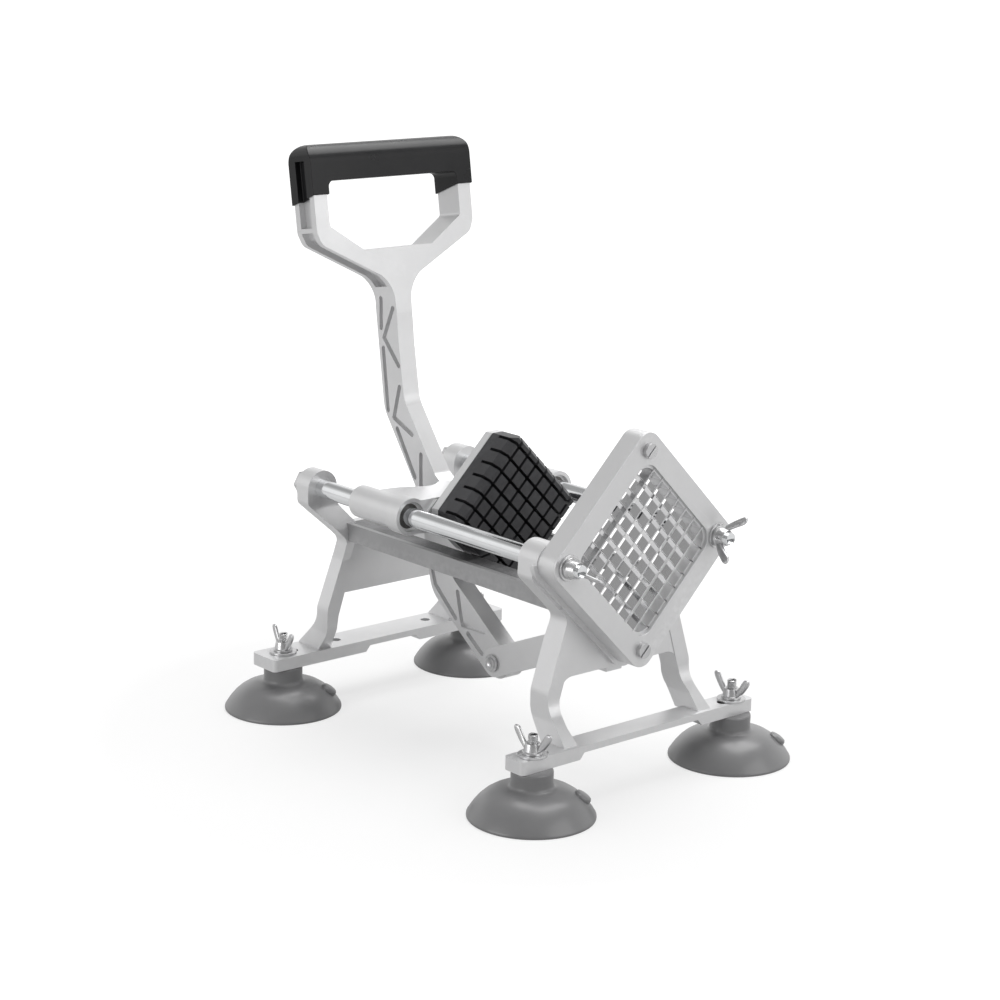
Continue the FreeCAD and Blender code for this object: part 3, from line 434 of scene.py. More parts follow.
class Effects:
    """Shader node groups that the finishes share."""

    @staticmethod
    def group(name: str, inputs: dict[str, tuple[str, float]],
              outputs: dict[str, str]) -> tuple[NodeTree, Node, Node]:
        """Open a new node group.

        Args:
            name: Name of the group.
            inputs: Socket type and default of each input.
            outputs: Socket type of each output.

        Returns:
            The group, its input node and its output node.
        """
        tree = bpy.data.node_groups.new(name, "ShaderNodeTree")
        for label, (kind, default) in inputs.items():
            socket = tree.interface.new_socket(name=label, in_out="INPUT", socket_type=kind)
            if kind == "NodeSocketFloat":
                socket.default_value = default
        for label, kind in outputs.items():
            tree.interface.new_socket(name=label, in_out="OUTPUT", socket_type=kind)
        return tree, tree.nodes.new("NodeGroupInput"), tree.nodes.new("NodeGroupOutput")

    @staticmethod
    def noise(tree: NodeTree, vector: Socket, scale: float, detail: float = 3.0,
              rough: float = 0.55) -> Node:
        """Add a noise texture.

        Args:
            tree: The tree that gets it.
            vector: Socket with the coordinates.
            scale: Texture scale.
            detail: Octaves.
            rough: Weight of the finer octaves.

        Returns:
            The noise node.
        """
        node = tree.nodes.new("ShaderNodeTexNoise")
        node.inputs["Scale"].default_value = scale
        node.inputs["Detail"].default_value = detail
        node.inputs["Roughness"].default_value = rough
        tree.links.new(vector, node.inputs["Vector"])
        return node

    @staticmethod
    def span(tree: NodeTree, value: Socket, low: float, high: float,
             to_low: float = 0.0, to_high: float = 1.0) -> Socket:
        """Map a range of values to another, held at its ends.

        Args:
            tree: The tree that gets the node.
            value: Socket with the value.
            low: Value that gives to_low.
            high: Value that gives to_high.
            to_low: Result at low.
            to_high: Result at high.

        Returns:
            The result's socket.
        """
        node = tree.nodes.new("ShaderNodeMapRange")
        node.inputs["From Min"].default_value = low
        node.inputs["From Max"].default_value = high
        node.inputs["To Min"].default_value = to_low
        node.inputs["To Max"].default_value = to_high
        tree.links.new(value, node.inputs["Value"])
        return node.outputs["Result"]

    @staticmethod
    def calc(tree: NodeTree, operation: str, first: Socket, second: Socket | float,
             clamp: bool = False) -> Socket:
        """Join two values by one operation.

        Args:
            tree: The tree that gets the node.
            operation: The math node's operation.
            first: Socket with the first value.
            second: Socket with the second value, or a number.
            clamp: Whether the result is held from 0 to 1.

        Returns:
            The result's socket.
        """
        node = tree.nodes.new("ShaderNodeMath")
        node.operation = operation
        node.use_clamp = clamp
        tree.links.new(first, node.inputs[0])
        if isinstance(second, float):
            node.inputs[1].default_value = second
        else:
            tree.links.new(second, node.inputs[1])
        return node.outputs[0]

    @classmethod
    def grain(cls) -> NodeTree:
        """Build the fine skin of a cast, tumbled or moulded surface.

        Returns:
            A group from Vector, Scale and Pits to Height, Cloud and Speck.
        """
        tree, inside, outside = cls.group(
            "surface_grain",
            {"Vector": ("NodeSocketVector", 0.0), "Scale": ("NodeSocketFloat", 900.0),
             "Pits": ("NodeSocketFloat", 0.3)},
            {"Height": "NodeSocketFloat", "Cloud": "NodeSocketFloat", "Speck": "NodeSocketFloat"})
        fine = cls.noise(tree, inside.outputs["Vector"], 900.0, 2.0)
        tree.links.new(inside.outputs["Scale"], fine.inputs["Scale"])
        cloud = cls.noise(tree, inside.outputs["Vector"], 38.0, 4.0, 0.6)
        cells = tree.nodes.new("ShaderNodeTexVoronoi")
        cells.inputs["Randomness"].default_value = 1.0
        cell_scale = cls.calc(tree, "MULTIPLY", inside.outputs["Scale"], 0.55)
        tree.links.new(cell_scale, cells.inputs["Scale"])
        tree.links.new(inside.outputs["Vector"], cells.inputs["Vector"])
        speck = cls.span(tree, cells.outputs["Distance"], 0.06, 0.2, 1.0, 0.0)
        drop = cls.calc(tree, "MULTIPLY", speck, inside.outputs["Pits"])
        tree.links.new(cls.calc(tree, "SUBTRACT", fine.outputs["Fac"], drop), outside.inputs["Height"])
        tree.links.new(cls.span(tree, cloud.outputs["Fac"], 0.3, 0.7), outside.inputs["Cloud"])
        tree.links.new(speck, outside.inputs["Speck"])
        return tree

    @classmethod
    def scratches(cls) -> NodeTree:
        """Build fine scratches that run one way.

        Returns:
            A group from Vector and Stretch to Lines.
        """
        tree, inside, outside = cls.group(
            "fine_scratches",
            {"Vector": ("NodeSocketVector", 0.0), "Stretch": ("NodeSocketFloat", 60.0)},
            {"Lines": "NodeSocketFloat"})
        split = tree.nodes.new("ShaderNodeSeparateXYZ")
        merge = tree.nodes.new("ShaderNodeCombineXYZ")
        tree.links.new(inside.outputs["Vector"], split.inputs[0])
        across = cls.calc(tree, "MULTIPLY", split.outputs["X"], inside.outputs["Stretch"])
        tree.links.new(across, merge.inputs["X"])
        tree.links.new(split.outputs["Y"], merge.inputs["Y"])
        tree.links.new(split.outputs["Z"], merge.inputs["Z"])
        lines = cls.noise(tree, merge.outputs[0], 60.0, 5.0, 0.7)
        tree.links.new(cls.span(tree, lines.outputs["Fac"], 0.35, 0.65), outside.inputs["Lines"])
        return tree

    @classmethod
    def edge_wear(cls) -> NodeTree:
        """Build a mask of rubbed edges, broken up by noise.

        Returns:
            A group from Vector and Amount to Wear.
        """
        tree, inside, outside = cls.group(
            "edge_wear",
            {"Vector": ("NodeSocketVector", 0.0), "Amount": ("NodeSocketFloat", 1.0)},
            {"Wear": "NodeSocketFloat"})
        geometry = tree.nodes.new("ShaderNodeNewGeometry")
        edge = cls.span(tree, geometry.outputs["Pointiness"], 0.52, 0.6)
        broken = cls.noise(tree, inside.outputs["Vector"], 240.0, 3.0)
        chips = cls.span(tree, broken.outputs["Fac"], 0.38, 0.62)
        rubbed = cls.calc(tree, "MULTIPLY", edge, chips)
        tree.links.new(cls.calc(tree, "MULTIPLY", rubbed, inside.outputs["Amount"], True), outside.inputs["Wear"])
        return tree


@dataclass(frozen=True)
class Finish:
    """One finish: colours, gloss and the strength of its surface detail."""

    name: str
    colour: Colour
    second: Colour
    metallic: float
    rough: tuple[float, float]
    grain_scale: float
    bump: float
    bump_depth: float
    pits: float = 0.2
    wear: float = 0.0
    wear_colour: Colour = (0.8, 0.8, 0.8)
    scratch: float = 0.0
    scratch_turn: Place = (0.0, 0.0, 0.0)
    coat: float = 0.0
    coat_rough: float = 0.1
    specular: float = 0.5

    def build(self) -> bpy.types.Material:
        """Make the material's nodes.

        Returns:
            The new material.
        """
        material = bpy.data.materials.new(self.name)
        material.use_nodes = True
        tree = material.node_tree
        links = tree.links
        shader = tree.nodes["Principled BSDF"]
        shader.inputs["Metallic"].default_value = self.metallic
        shader.inputs["Coat Weight"].default_value = self.coat
        shader.inputs["Coat Roughness"].default_value = self.coat_rough
        shader.inputs["Specular IOR Level"].default_value = self.specular
        place = tree.nodes.new("ShaderNodeTexCoord")
        mapping = tree.nodes.new("ShaderNodeMapping")
        mapping.inputs["Rotation"].default_value = [math.radians(a) for a in self.scratch_turn]
        links.new(place.outputs["Object"], mapping.inputs["Vector"])
        vector = mapping.outputs["Vector"]
        grain = self.effect(tree, "surface_grain", vector)
        grain.inputs["Scale"].default_value = self.grain_scale
        grain.inputs["Pits"].default_value = self.pits
        tint = self.blend(tree, grain.outputs["Cloud"], self.colour, self.second)
        rough = Effects.span(tree, grain.outputs["Cloud"], 0.0, 1.0, self.rough[0], self.rough[1])
        height = grain.outputs["Height"]
        if self.scratch > 0.0:
            lines = self.effect(tree, "fine_scratches", vector)
            lines.inputs["Stretch"].default_value = 40.0
            rub = Effects.span(tree, lines.outputs["Lines"], 0.0, 1.0, -self.scratch, self.scratch)
            rough = Effects.calc(tree, "ADD", rough, rub)
            height = Effects.calc(tree, "ADD", height, lines.outputs["Lines"])
        if self.wear > 0.0:
            edges = self.effect(tree, "edge_wear", vector)
            edges.inputs["Amount"].default_value = self.wear
            tint = self.blend(tree, edges.outputs["Wear"], tint, self.wear_colour)
        bump = tree.nodes.new("ShaderNodeBump")
        bump.inputs["Strength"].default_value = self.bump
        bump.inputs["Distance"].default_value = self.bump_depth
        links.new(height, bump.inputs["Height"])
        links.new(bump.outputs["Normal"], shader.inputs["Normal"])
        links.new(tint, shader.inputs["Base Color"])
        links.new(rough, shader.inputs["Roughness"])
        return material

    @staticmethod
    def effect(tree: NodeTree, name: str, vector: Socket) -> Node:
        """Place a shared effect in a material.

        Args:
            tree: The material's tree.
            name: Name of the node group.
            vector: Socket with the coordinates.

        Returns:
            The group's node.
        """
        node = tree.nodes.new("ShaderNodeGroup")
        node.node_tree = bpy.data.node_groups[name]
        tree.links.new(vector, node.inputs["Vector"])
        return node

    @staticmethod
    def blend(tree: NodeTree, mask: Socket, first: Colour | Socket, second: Colour | Socket) -> Socket:
        """Mix two colours by a mask.

        Args:
            tree: The material's tree.
            mask: Socket with the mask.
            first: Colour or socket where the mask is 0.
            second: Colour or socket where it is 1.

        Returns:
            The mixed colour's socket.
        """
        node = tree.nodes.new("ShaderNodeMix")
        node.data_type = "RGBA"
        tree.links.new(mask, node.inputs["Factor"])
        for key, colour in ((6, first), (7, second)):
            if isinstance(colour, tuple):
                node.inputs[key].default_value = (*colour, 1.0)
            else:
                tree.links.new(colour, node.inputs[key])
        return node.outputs[2]


ALUMINIUM = Finish("cast_aluminium", (0.75, 0.75, 0.755), (0.71, 0.71, 0.715), 0.6, (0.30, 0.38), 1500.0, 0.10,
                   0.0003, pits=0.35, wear=0.15, wear_colour=(0.86, 0.86, 0.87))
RAIL_METAL = Finish("rail_aluminium", (0.37, 0.37, 0.375), (0.34, 0.34, 0.345), 0.6, (0.40, 0.46), 1300.0, 0.10,
                    0.0003, pits=0.3, wear=0.12, wear_colour=(0.70, 0.70, 0.71))
PLATE_METAL = Finish("face_plate_aluminium", (0.73, 0.73, 0.735), (0.70, 0.70, 0.705), 0.6, (0.36, 0.42), 1700.0,
                     0.08, 0.0002, pits=0.2, wear=0.4, wear_colour=(0.86, 0.86, 0.87))
# The rails' sunk tops, dark and mottled: painted shade and a painted reflection of the black pusher block above them.
RAIL_PANEL_SHADE = Finish("rail_panel_painted_shade", (0.105, 0.105, 0.108), (0.30, 0.30, 0.305), 0.7, (0.40, 0.60), 620.0, 0.8, 0.0007,
                    pits=0.8)
ROD_STEEL = Finish("polished_rod", (0.80, 0.81, 0.82), (0.74, 0.75, 0.76), 1.0, (0.08, 0.13), 2500.0, 0.03, 0.0002,
                   scratch=0.03, scratch_turn=(0.0, 90.0, 0.0))
PLATED = Finish("zinc_plated_steel", (0.66, 0.66, 0.66), (0.48, 0.48, 0.49), 1.0, (0.22, 0.36), 1800.0, 0.14, 0.0002,
                pits=0.35, wear=0.6, wear_colour=(0.84, 0.84, 0.84))
BLADE = Finish("blade_steel", (0.71, 0.71, 0.715), (0.67, 0.67, 0.675), 1.0, (0.09, 0.13), 2600.0, 0.01, 0.0001)
# One row's blade sides, near-white: a painted reflection of the white background in the polished steel.
BLADE_PAINTED_REFLECTION = Finish("blade_steel_painted_reflection", (0.97, 0.97, 0.975), (0.94, 0.94, 0.945), 1.0, (0.06, 0.09), 2600.0, 0.01,
                      0.0001)
# Ground front edges of the blades: a ground steel edge, made near-white and mostly non-metal as a painted highlight.
BLADE_EDGE_AND_HIGHLIGHT = Finish("ground_edge_and_painted_highlight", (0.92, 0.92, 0.93), (0.86, 0.86, 0.87), 0.3, (0.24, 0.32), 2600.0, 0.03,
                    0.0001)
BUSHING = Finish("sintered_bush", (0.10, 0.098, 0.095), (0.16, 0.155, 0.15), 0.8, (0.38, 0.55), 2200.0, 0.3, 0.0002,
                 pits=0.8)
PUSHER = Finish("pusher_plastic", (0.024, 0.024, 0.026), (0.034, 0.034, 0.037), 0.0, (0.34, 0.50), 1500.0, 0.25,
                0.0002, pits=0.2, wear=0.25, wear_colour=(0.09, 0.09, 0.095))
VINYL = Finish("dipped_vinyl", (0.012, 0.012, 0.013), (0.016, 0.016, 0.017), 0.0, (0.26, 0.34), 90.0, 0.04, 0.0008,
               pits=0.0, coat=0.05, coat_rough=0.2, specular=0.25)
RUBBER = Finish("cup_rubber", (0.178, 0.178, 0.181), (0.196, 0.196, 0.199), 0.0, (0.34, 0.42), 700.0, 0.06, 0.0003,
                pits=0.1, coat=0.45, coat_rough=0.26)


# Sub-assemblies

@dataclass
class Workshop:
    """What every sub-assembly shares: the frame and the finished materials."""

    frame: dict
    materials: dict[str, bpy.types.Material] = field(default_factory=dict)

    def material(self, finish: Finish) -> bpy.types.Material:
        """Give a finish's material, made once.

        Args:
            finish: The finish.

        Returns:
            Its material.
        """
        if finish.name not in self.materials:
            self.materials[finish.name] = finish.build()
        return self.materials[finish.name]

    def dress(self, obj: Piece, finish: Finish) -> None:
        """Cover a piece with one finish.

        Args:
            obj: The piece or frame node.
            finish: Its finish.
        """
        obj.data.materials.clear()
        obj.data.materials.append(self.material(finish))

    def fit(self, obj: Piece, finish: Finish, body: str, nodes: Sequence[str] = (),
            slot: str = "", smooth: float = 35.0) -> Piece:
        """Finish a piece: shade, dress and hang it on its body.

        Args:
            obj: The piece.
            finish: Its finish.
            body: The frame body it rides on.
            nodes: Frame nodes that it stands for.
            slot: Not used.
            smooth: Angle from which edges stay sharp.

        Returns:
            The piece.
        """
        shade(obj, smooth)
        self.dress(obj, finish)
        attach(obj, body)
        if nodes:
            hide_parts(*nodes)
        LOG.info("%s: %d faces on %s", obj.name, len(obj.data.polygons), body)
        return obj

    def cast(self, node: str, name: str, body: str, finish: Finish, slot: str, width: float,
             segments: int = 3, degrees: float = 32.0) -> Piece:
        """Make a piece from a frame node, with rounded edges.

        Args:
            node: The frame node.
            name: Name of the piece.
            body: The body it rides on.
            finish: Its finish.
            slot: The record's material slot.
            width: Width of the round on its edges.
            segments: Steps across the round.
            degrees: Angle from which an edge is rounded.

        Returns:
            The piece.
        """
        obj = seat_of(self.frame["nodes"][node], name)
        bevel(obj, width, segments, degrees)
        return self.fit(obj, finish, body, [node], slot)


@dataclass
class Castings:
    """The aluminium castings and flat bars."""

    shop: Workshop
    soft: float = 1.0 * MM
    crisp: float = 0.5 * MM
    panel_z: float = 0.1238
    panel_slack: float = 0.0003
    rod_z: float = 0.1493
    window: tuple[float, float] = (0.077, 0.080)

    def panel(self, obj: Piece) -> None:
        """Give a rail's sunk top a dark rough material: painted shade and a painted reflection of the black pusher
        block.

        Args:
            obj: The rail, already dressed.
        """
        obj.data.materials.append(self.shop.material(RAIL_PANEL_SHADE))
        # The sunk top faces get the painted shade and reflection.
        for face in obj.data.polygons:
            if face.normal.z > 0.9 and abs(face.center.z - self.panel_z) < self.panel_slack:
                face.material_index = 1

    def cover(self) -> None:
        """Make the cover plate, its window a little wider than the housing's opening."""
        plate = seat_of(self.shop.frame["nodes"]["cover_plate"], "cover_plate_casting")
        middle = self.rod_z
        for group in (plate.data.polygons, plate.data.edges):
            for item in group:
                item.select = False
        for point in plate.data.vertices:
            x, z = point.co.x, point.co.z - middle
            point.select = max(abs(x + z), abs(x - z)) < self.window[0] * math.sqrt(0.5) + 0.5 * MM
        bpy.ops.object.mode_set(mode="EDIT")
        bpy.ops.mesh.select_mode(type="VERT")
        grow = self.window[1] / self.window[0]
        bpy.ops.transform.resize(value=(grow, 1.0, grow), center_override=(0.0, 0.0, middle))
        bpy.ops.object.mode_set(mode="OBJECT")
        bevel(plate, self.crisp)
        self.shop.fit(plate, PLATE_METAL, "cartridge", ["cover_plate"], "cast_aluminium")

    def build(self) -> None:
        """Make every casting with its rounded edges."""
        for node, body, width in (("front_frame", "frame", self.soft), ("rear_frame", "frame", self.soft),
                                  ("carriage", "carriage", self.soft), ("lever", "lever", self.crisp),
                                  ("cutter_housing", "cartridge", self.crisp),
                                  ("link_left", "links", self.crisp), ("link_right", "links", self.crisp)):
            self.shop.cast(node, node + "_casting", body, ALUMINIUM, "cast_aluminium", width)
        self.cover()
        for side in ("left", "right"):
            rail = self.shop.cast("bed_rail_" + side, "bed_rail_casting_" + side, "frame", RAIL_METAL,
                                  "cast_aluminium", self.crisp)
            self.panel(rail)


@dataclass
class Pusher:
    """The studded block."""

    shop: Workshop
    edge: float = 0.5 * MM

    def build(self) -> None:
        """Make the block with softened studs."""
        self.shop.cast("pusher_block", "stud_block", "carriage", PUSHER, "pusher_plastic", self.edge, 2)


@dataclass
class Grip:
    """The dipped vinyl skin on the D handle."""

    shop: Workshop
    lip: float = 0.5 * MM

    def build(self) -> None:
        """Make the skin with its edges rounded."""
        self.shop.cast("handle_grip", "vinyl_grip", "lever", VINYL, "grip_vinyl", self.lip)


@dataclass
class Blades:
    """Two rows of thin blades slotted into each other, with ground front edges. Sizes in millimetres."""

    shop: Workshop
    middle: float = 149.3
    count: int = 7
    pitch: float = 10.0
    half_thick: float = 0.35
    half_edge: float = 0.09
    reach: float = 42.5
    window_reach: float = 39.6
    cover_back: float = -126.3
    rising: tuple[float, float] = (-119.1, -127.5)
    falling: tuple[float, float] = (-118.0, -125.0)
    ground: float = 0.6
    edge_facing: float = -0.15
    painted_reflection_facing: float = 0.3

    def row(self, name: str, ends: tuple[float, float], lean: float) -> list[Piece]:
        """Make one row of parallel blades, their ends held behind the cover.

        Args:
            name: Name of the row's pieces.
            ends: Places of their backs and ground edges along the cutter.
            lean: Turn about the cutter's length, in degrees.

        Returns:
            The blades in their places.
        """
        back, tip = ends[0], ends[0] - ends[1]
        step = min(back - self.cover_back, tip - self.ground)
        pattern = stacked(name + "_pattern", [
            (0.0, 0.0, self.reach, self.half_thick), (step, 0.0, self.reach, self.half_thick),
            (step, 0.0, self.window_reach, self.half_thick),
            (max(step, tip - self.ground) + 0.01, 0.0, self.window_reach, self.half_thick),
            (tip, 0.0, self.window_reach, self.half_edge)], 0)
        across = math.radians(lean + 90.0)
        blades = []
        for index in range(self.count):
            shift = (index - (self.count - 1) / 2.0) * self.pitch
            place = (shift * math.cos(across), back, self.middle - shift * math.sin(across))
            blades.append(set_about(twin(pattern, name), place, (90.0, lean, 0.0)))
        pick(pattern)
        bpy.ops.object.delete()
        return blades

    def build(self) -> None:
        """Make both rows as one crossed set; the ground edges get a near-white painted highlight and one row's sides
        a painted reflection.
        """
        pieces = self.row("rising_blade", self.rising, -45.0) + self.row("falling_blade", self.falling, 45.0)
        blades = join("crossed_blades", pieces)
        self.shop.fit(blades, BLADE, "cartridge", ["blades_front", "blades_rear"], "blade_steel", 12.0)
        blades.data.materials.append(self.shop.material(BLADE_EDGE_AND_HIGHLIGHT))
        blades.data.materials.append(self.shop.material(BLADE_PAINTED_REFLECTION))
        for face in blades.data.polygons:
            # Ground front edges get the near-white painted highlight.
            if face.normal.y < self.edge_facing:
                face.material_index = 1
            # One row's sides, picked by the way they face, get the painted reflection.
            elif face.normal.x * face.normal.z > self.painted_reflection_facing:
                face.material_index = 2


@dataclass
class Rods:
    """Two ground rods with threaded ends, and the nuts behind the rear frame. Sizes in millimetres."""

    shop: Workshop
    x: float = 61.5
    z: float = 149.3
    radius: float = 6.0
    front: tuple[float, float] = (-139.5, -107.0)
    rear: tuple[float, float] = (118.0, 134.0)
    front_radius: float = 4.0
    rear_radius: float = 5.0
    thread: float = 10.0
    chamfer: float = 0.5
    overlap: float = 0.2

    def rod(self, side: Side) -> None:
        """Turn one rod and cut its threads.

        Args:
            side: Side it stands on.
        """
        low, high = self.front[1], self.rear[0]
        core_f, core_r = self.front_radius - 0.1, self.rear_radius - 0.1
        start, stop = self.front[0] + self.thread - self.overlap, self.rear[1] - self.thread + self.overlap
        inner = self.radius - self.chamfer
        shaft = lathe("shaft", [(0.0, start), (core_f, start), (core_f, low), (inner, low),
                                (self.radius, low + self.chamfer), (self.radius, high - self.chamfer), (inner, high),
                                (core_r, high), (core_r, stop), (0.0, stop)])
        set_about(shaft, (side.value * self.x, 0.0, self.z), (-90.0, 0.0, 0.0))
        front = screw_thread("front_thread", self.front_radius, 1.25, self.thread)
        set_about(front, (side.value * self.x, self.front[0] + self.thread, self.z), (90.0, 0.0, 0.0))
        rear = screw_thread("rear_thread", self.rear_radius, 1.5, self.thread)
        set_about(rear, (side.value * self.x, self.rear[1] - self.thread, self.z), (-90.0, 0.0, 0.0))
        name = side.name.lower()
        rod = join("ground_rod_" + name, [shaft, front, rear])
        self.shop.fit(rod, ROD_STEEL, "frame", ["guide_rod_" + name], "polished_steel", 40.0)

    def build(self) -> None:
        """Make both rods and both nuts."""
        for side in Side:
            self.rod(side)
        self.shop.cast("rod_nuts", "hexagon_nuts", "frame", PLATED, "plated_steel", 0.7 * MM, 3)


@dataclass(frozen=True)
class Footing:
    """Where the four feet stand; one sits further in along its slot. Sizes in millimetres."""

    x: float = 83.4
    y: float = 125.0
    shift: float = 6.0

    def place(self, end: str, side: str) -> Point:
        """Give the middle of one foot.

        Args:
            end: Front or rear.
            side: Left or right.

        Returns:
            Its x and y.
        """
        inward = self.shift if (end, side) == ("rear", "right") else 0.0
        return (self.x - inward) * Side[side.upper()].value, self.y * (1.0 if end == "rear" else -1.0)

    def all(self) -> dict[str, Point]:
        """List the four feet.

        Returns:
            The middle of each foot by its label.
        """
        return {f"{end}_{side}": self.place(end, side) for end in ("front", "rear") for side in ("left", "right")}


@dataclass
class WingNuts:
    """Six cast wing nuts, four on the cups and two on the cartridge. Sizes in millimetres."""

    shop: Workshop
    footing: Footing = Footing()
    seat_z: float = 39.3
    cup_turns: dict[str, float] = field(default_factory=lambda: {
        "front_left": 95.0, "front_right": 90.0, "rear_left": 80.0, "rear_right": 90.0})
    stud: Place = (61.5, -130.0, 149.3)
    stud_turns: dict[str, float] = field(default_factory=lambda: {"left": -33.0, "right": 56.0})
    cup_bore: float = 3.05
    stud_bore: float = 3.85
    stud_scale: float = 1.06
    wing: tuple[Slice, ...] = (
        (1.25, 4.6, 1.5, 1.5), (2.6, 5.6, 2.5, 1.45), (5.4, 7.8, 3.2, 1.35), (8.2, 9.8, 3.2, 1.3),
        (11.0, 11.7, 3.4, 1.35), (13.2, 12.6, 3.0, 1.3), (14.6, 12.9, 1.7, 1.0))

    def nut(self, name: str, bore: float) -> Piece:
        """Model one nut standing on Z.

        Args:
            name: Name of the piece.
            bore: Radius of its hole.

        Returns:
            The nut at the origin.
        """
        body = lathe("collar", [(bore, 0.35), (bore + 0.35, 0.0), (6.0, 0.0), (6.2, 0.2), (6.2, 1.1), (5.95, 1.45),
                                (5.55, 1.75), (4.75, 6.2), (4.35, 6.6), (bore + 0.4, 6.6), (bore, 6.2), (bore, 0.35)])
        wing = stacked("wing", self.wing, 3)
        other = mirrored(wing, "other_wing")
        return join(name, [body, wing, other])

    def build(self) -> None:
        """Model one nut, copy it to its six places and dress each."""
        pattern = self.nut("wing_nut_pattern", self.cup_bore)
        for label, turn in self.cup_turns.items():
            nut = twin(pattern, "cast_wing_nut_" + label)
            x, y = self.footing.all()[label]
            set_about(nut, (x, y, self.seat_z), (0.0, 0.0, turn))
            self.shop.fit(nut, PLATED, "cup_nut_" + label, ["wing_nut_" + label], "plated_steel")
        larger = self.nut("wing_nut_larger", self.stud_bore)
        for side, turn in self.stud_turns.items():
            nut = twin(larger, "cartridge_nut_casting_" + side)
            set_about(nut, (0.0, 0.0, 0.0), (0.0, 0.0, turn), self.stud_scale)
            x = self.stud[0] * Side[side.upper()].value
            set_about(nut, (x, self.stud[1], self.stud[2]), (90.0, 0.0, 0.0))
            self.shop.fit(nut, PLATED, "cartridge_nut_" + side, ["cartridge_wing_nut_" + side], "plated_steel")
        for spare in (pattern, larger):
            pick(spare)
            bpy.ops.object.delete()


@dataclass
class Feet:
    """Four rubber suction cups with their studs and washers. Sizes in millimetres."""

    shop: Workshop
    footing: Footing = Footing()
    stud_base: float = 37.0
    stud_top: float = 51.0
    tab_profile: tuple[Point, ...] = (
        (0.0, 2.6), (3.2, 2.6), (4.8, 2.2), (5.5, 1.2), (5.6, 0.0), (5.5, -1.2), (4.6, -2.3), (0.0, -2.4))
    tab_lean: float = 33.0
    tab_place: Place = (29.8, 0.0, 12.0)
    tab_turn: float = -40.0
    profile: tuple[Point, ...] = (
        (0.0, 29.6), (9.0, 29.6), (11.9, 29.45), (12.6, 28.9), (12.8, 28.0), (12.75, 24.0), (12.8, 20.6),
        (13.3, 19.2), (14.8, 18.3), (17.8, 17.9), (21.5, 17.1), (25.5, 15.5), (29.2, 13.1), (32.4, 10.2),
        (35.0, 7.1), (36.9, 4.4), (38.0, 2.6), (38.6, 1.7), (38.7, 1.0), (38.6, 0.35), (38.1, 0.05), (37.2, 0.0),
        (36.4, 0.35), (34.4, 2.0), (31.0, 4.2), (26.0, 5.9), (19.0, 7.0), (10.0, 7.4), (0.0, 7.5))

    def cup(self, label: str, place: Point) -> None:
        """Mould one cup with its release tab.

        Args:
            label: Which foot it is.
            place: Its x and y.
        """
        skirt = lathe("skirt", self.profile, 96)
        tab = lathe("tab", self.tab_profile, 40)
        set_about(tab, (0.0, 0.0, 0.0), (0.0, self.tab_lean, 0.0))
        set_about(tab, self.tab_place)
        set_about(tab, (0.0, 0.0, 0.0), (0.0, 0.0, self.tab_turn))
        cup = join("rubber_cup_" + label, [skirt, tab])
        set_about(cup, (*place, 0.0))
        self.shop.fit(cup, RUBBER, "frame", ["suction_cup_" + label], "cup_rubber", 50.0)

    def studs(self) -> None:
        """Cut the four studs' threads."""
        pieces = []
        for x, y in self.footing.all().values():
            thread = screw_thread("stud", 3.0, 1.0, self.stud_top - self.stud_base)
            set_about(thread, (x, y, self.stud_base))
            shank = lathe("shank", [(0.0, 17.0), (2.9, 17.0), (2.9, self.stud_base + 0.2),
                                    (0.0, self.stud_base + 0.2)], 32)
            set_about(shank, (x, y, 0.0))
            pieces += [thread, shank]
        studs = join("threaded_studs", pieces)
        self.shop.fit(studs, PLATED, "frame", ["cup_studs"], "plated_steel", 40.0)

    def build(self) -> None:
        """Make the cups, studs and washers."""
        for label, place in self.footing.all().items():
            self.cup(label, place)
        self.studs()
        self.shop.cast("cup_washers", "flat_washers", "frame", PLATED, "plated_steel", 0.25 * MM, 2)
        self.shop.cast("cartridge_washers", "stud_washers", "cartridge", PLATED, "plated_steel", 0.25 * MM, 2)


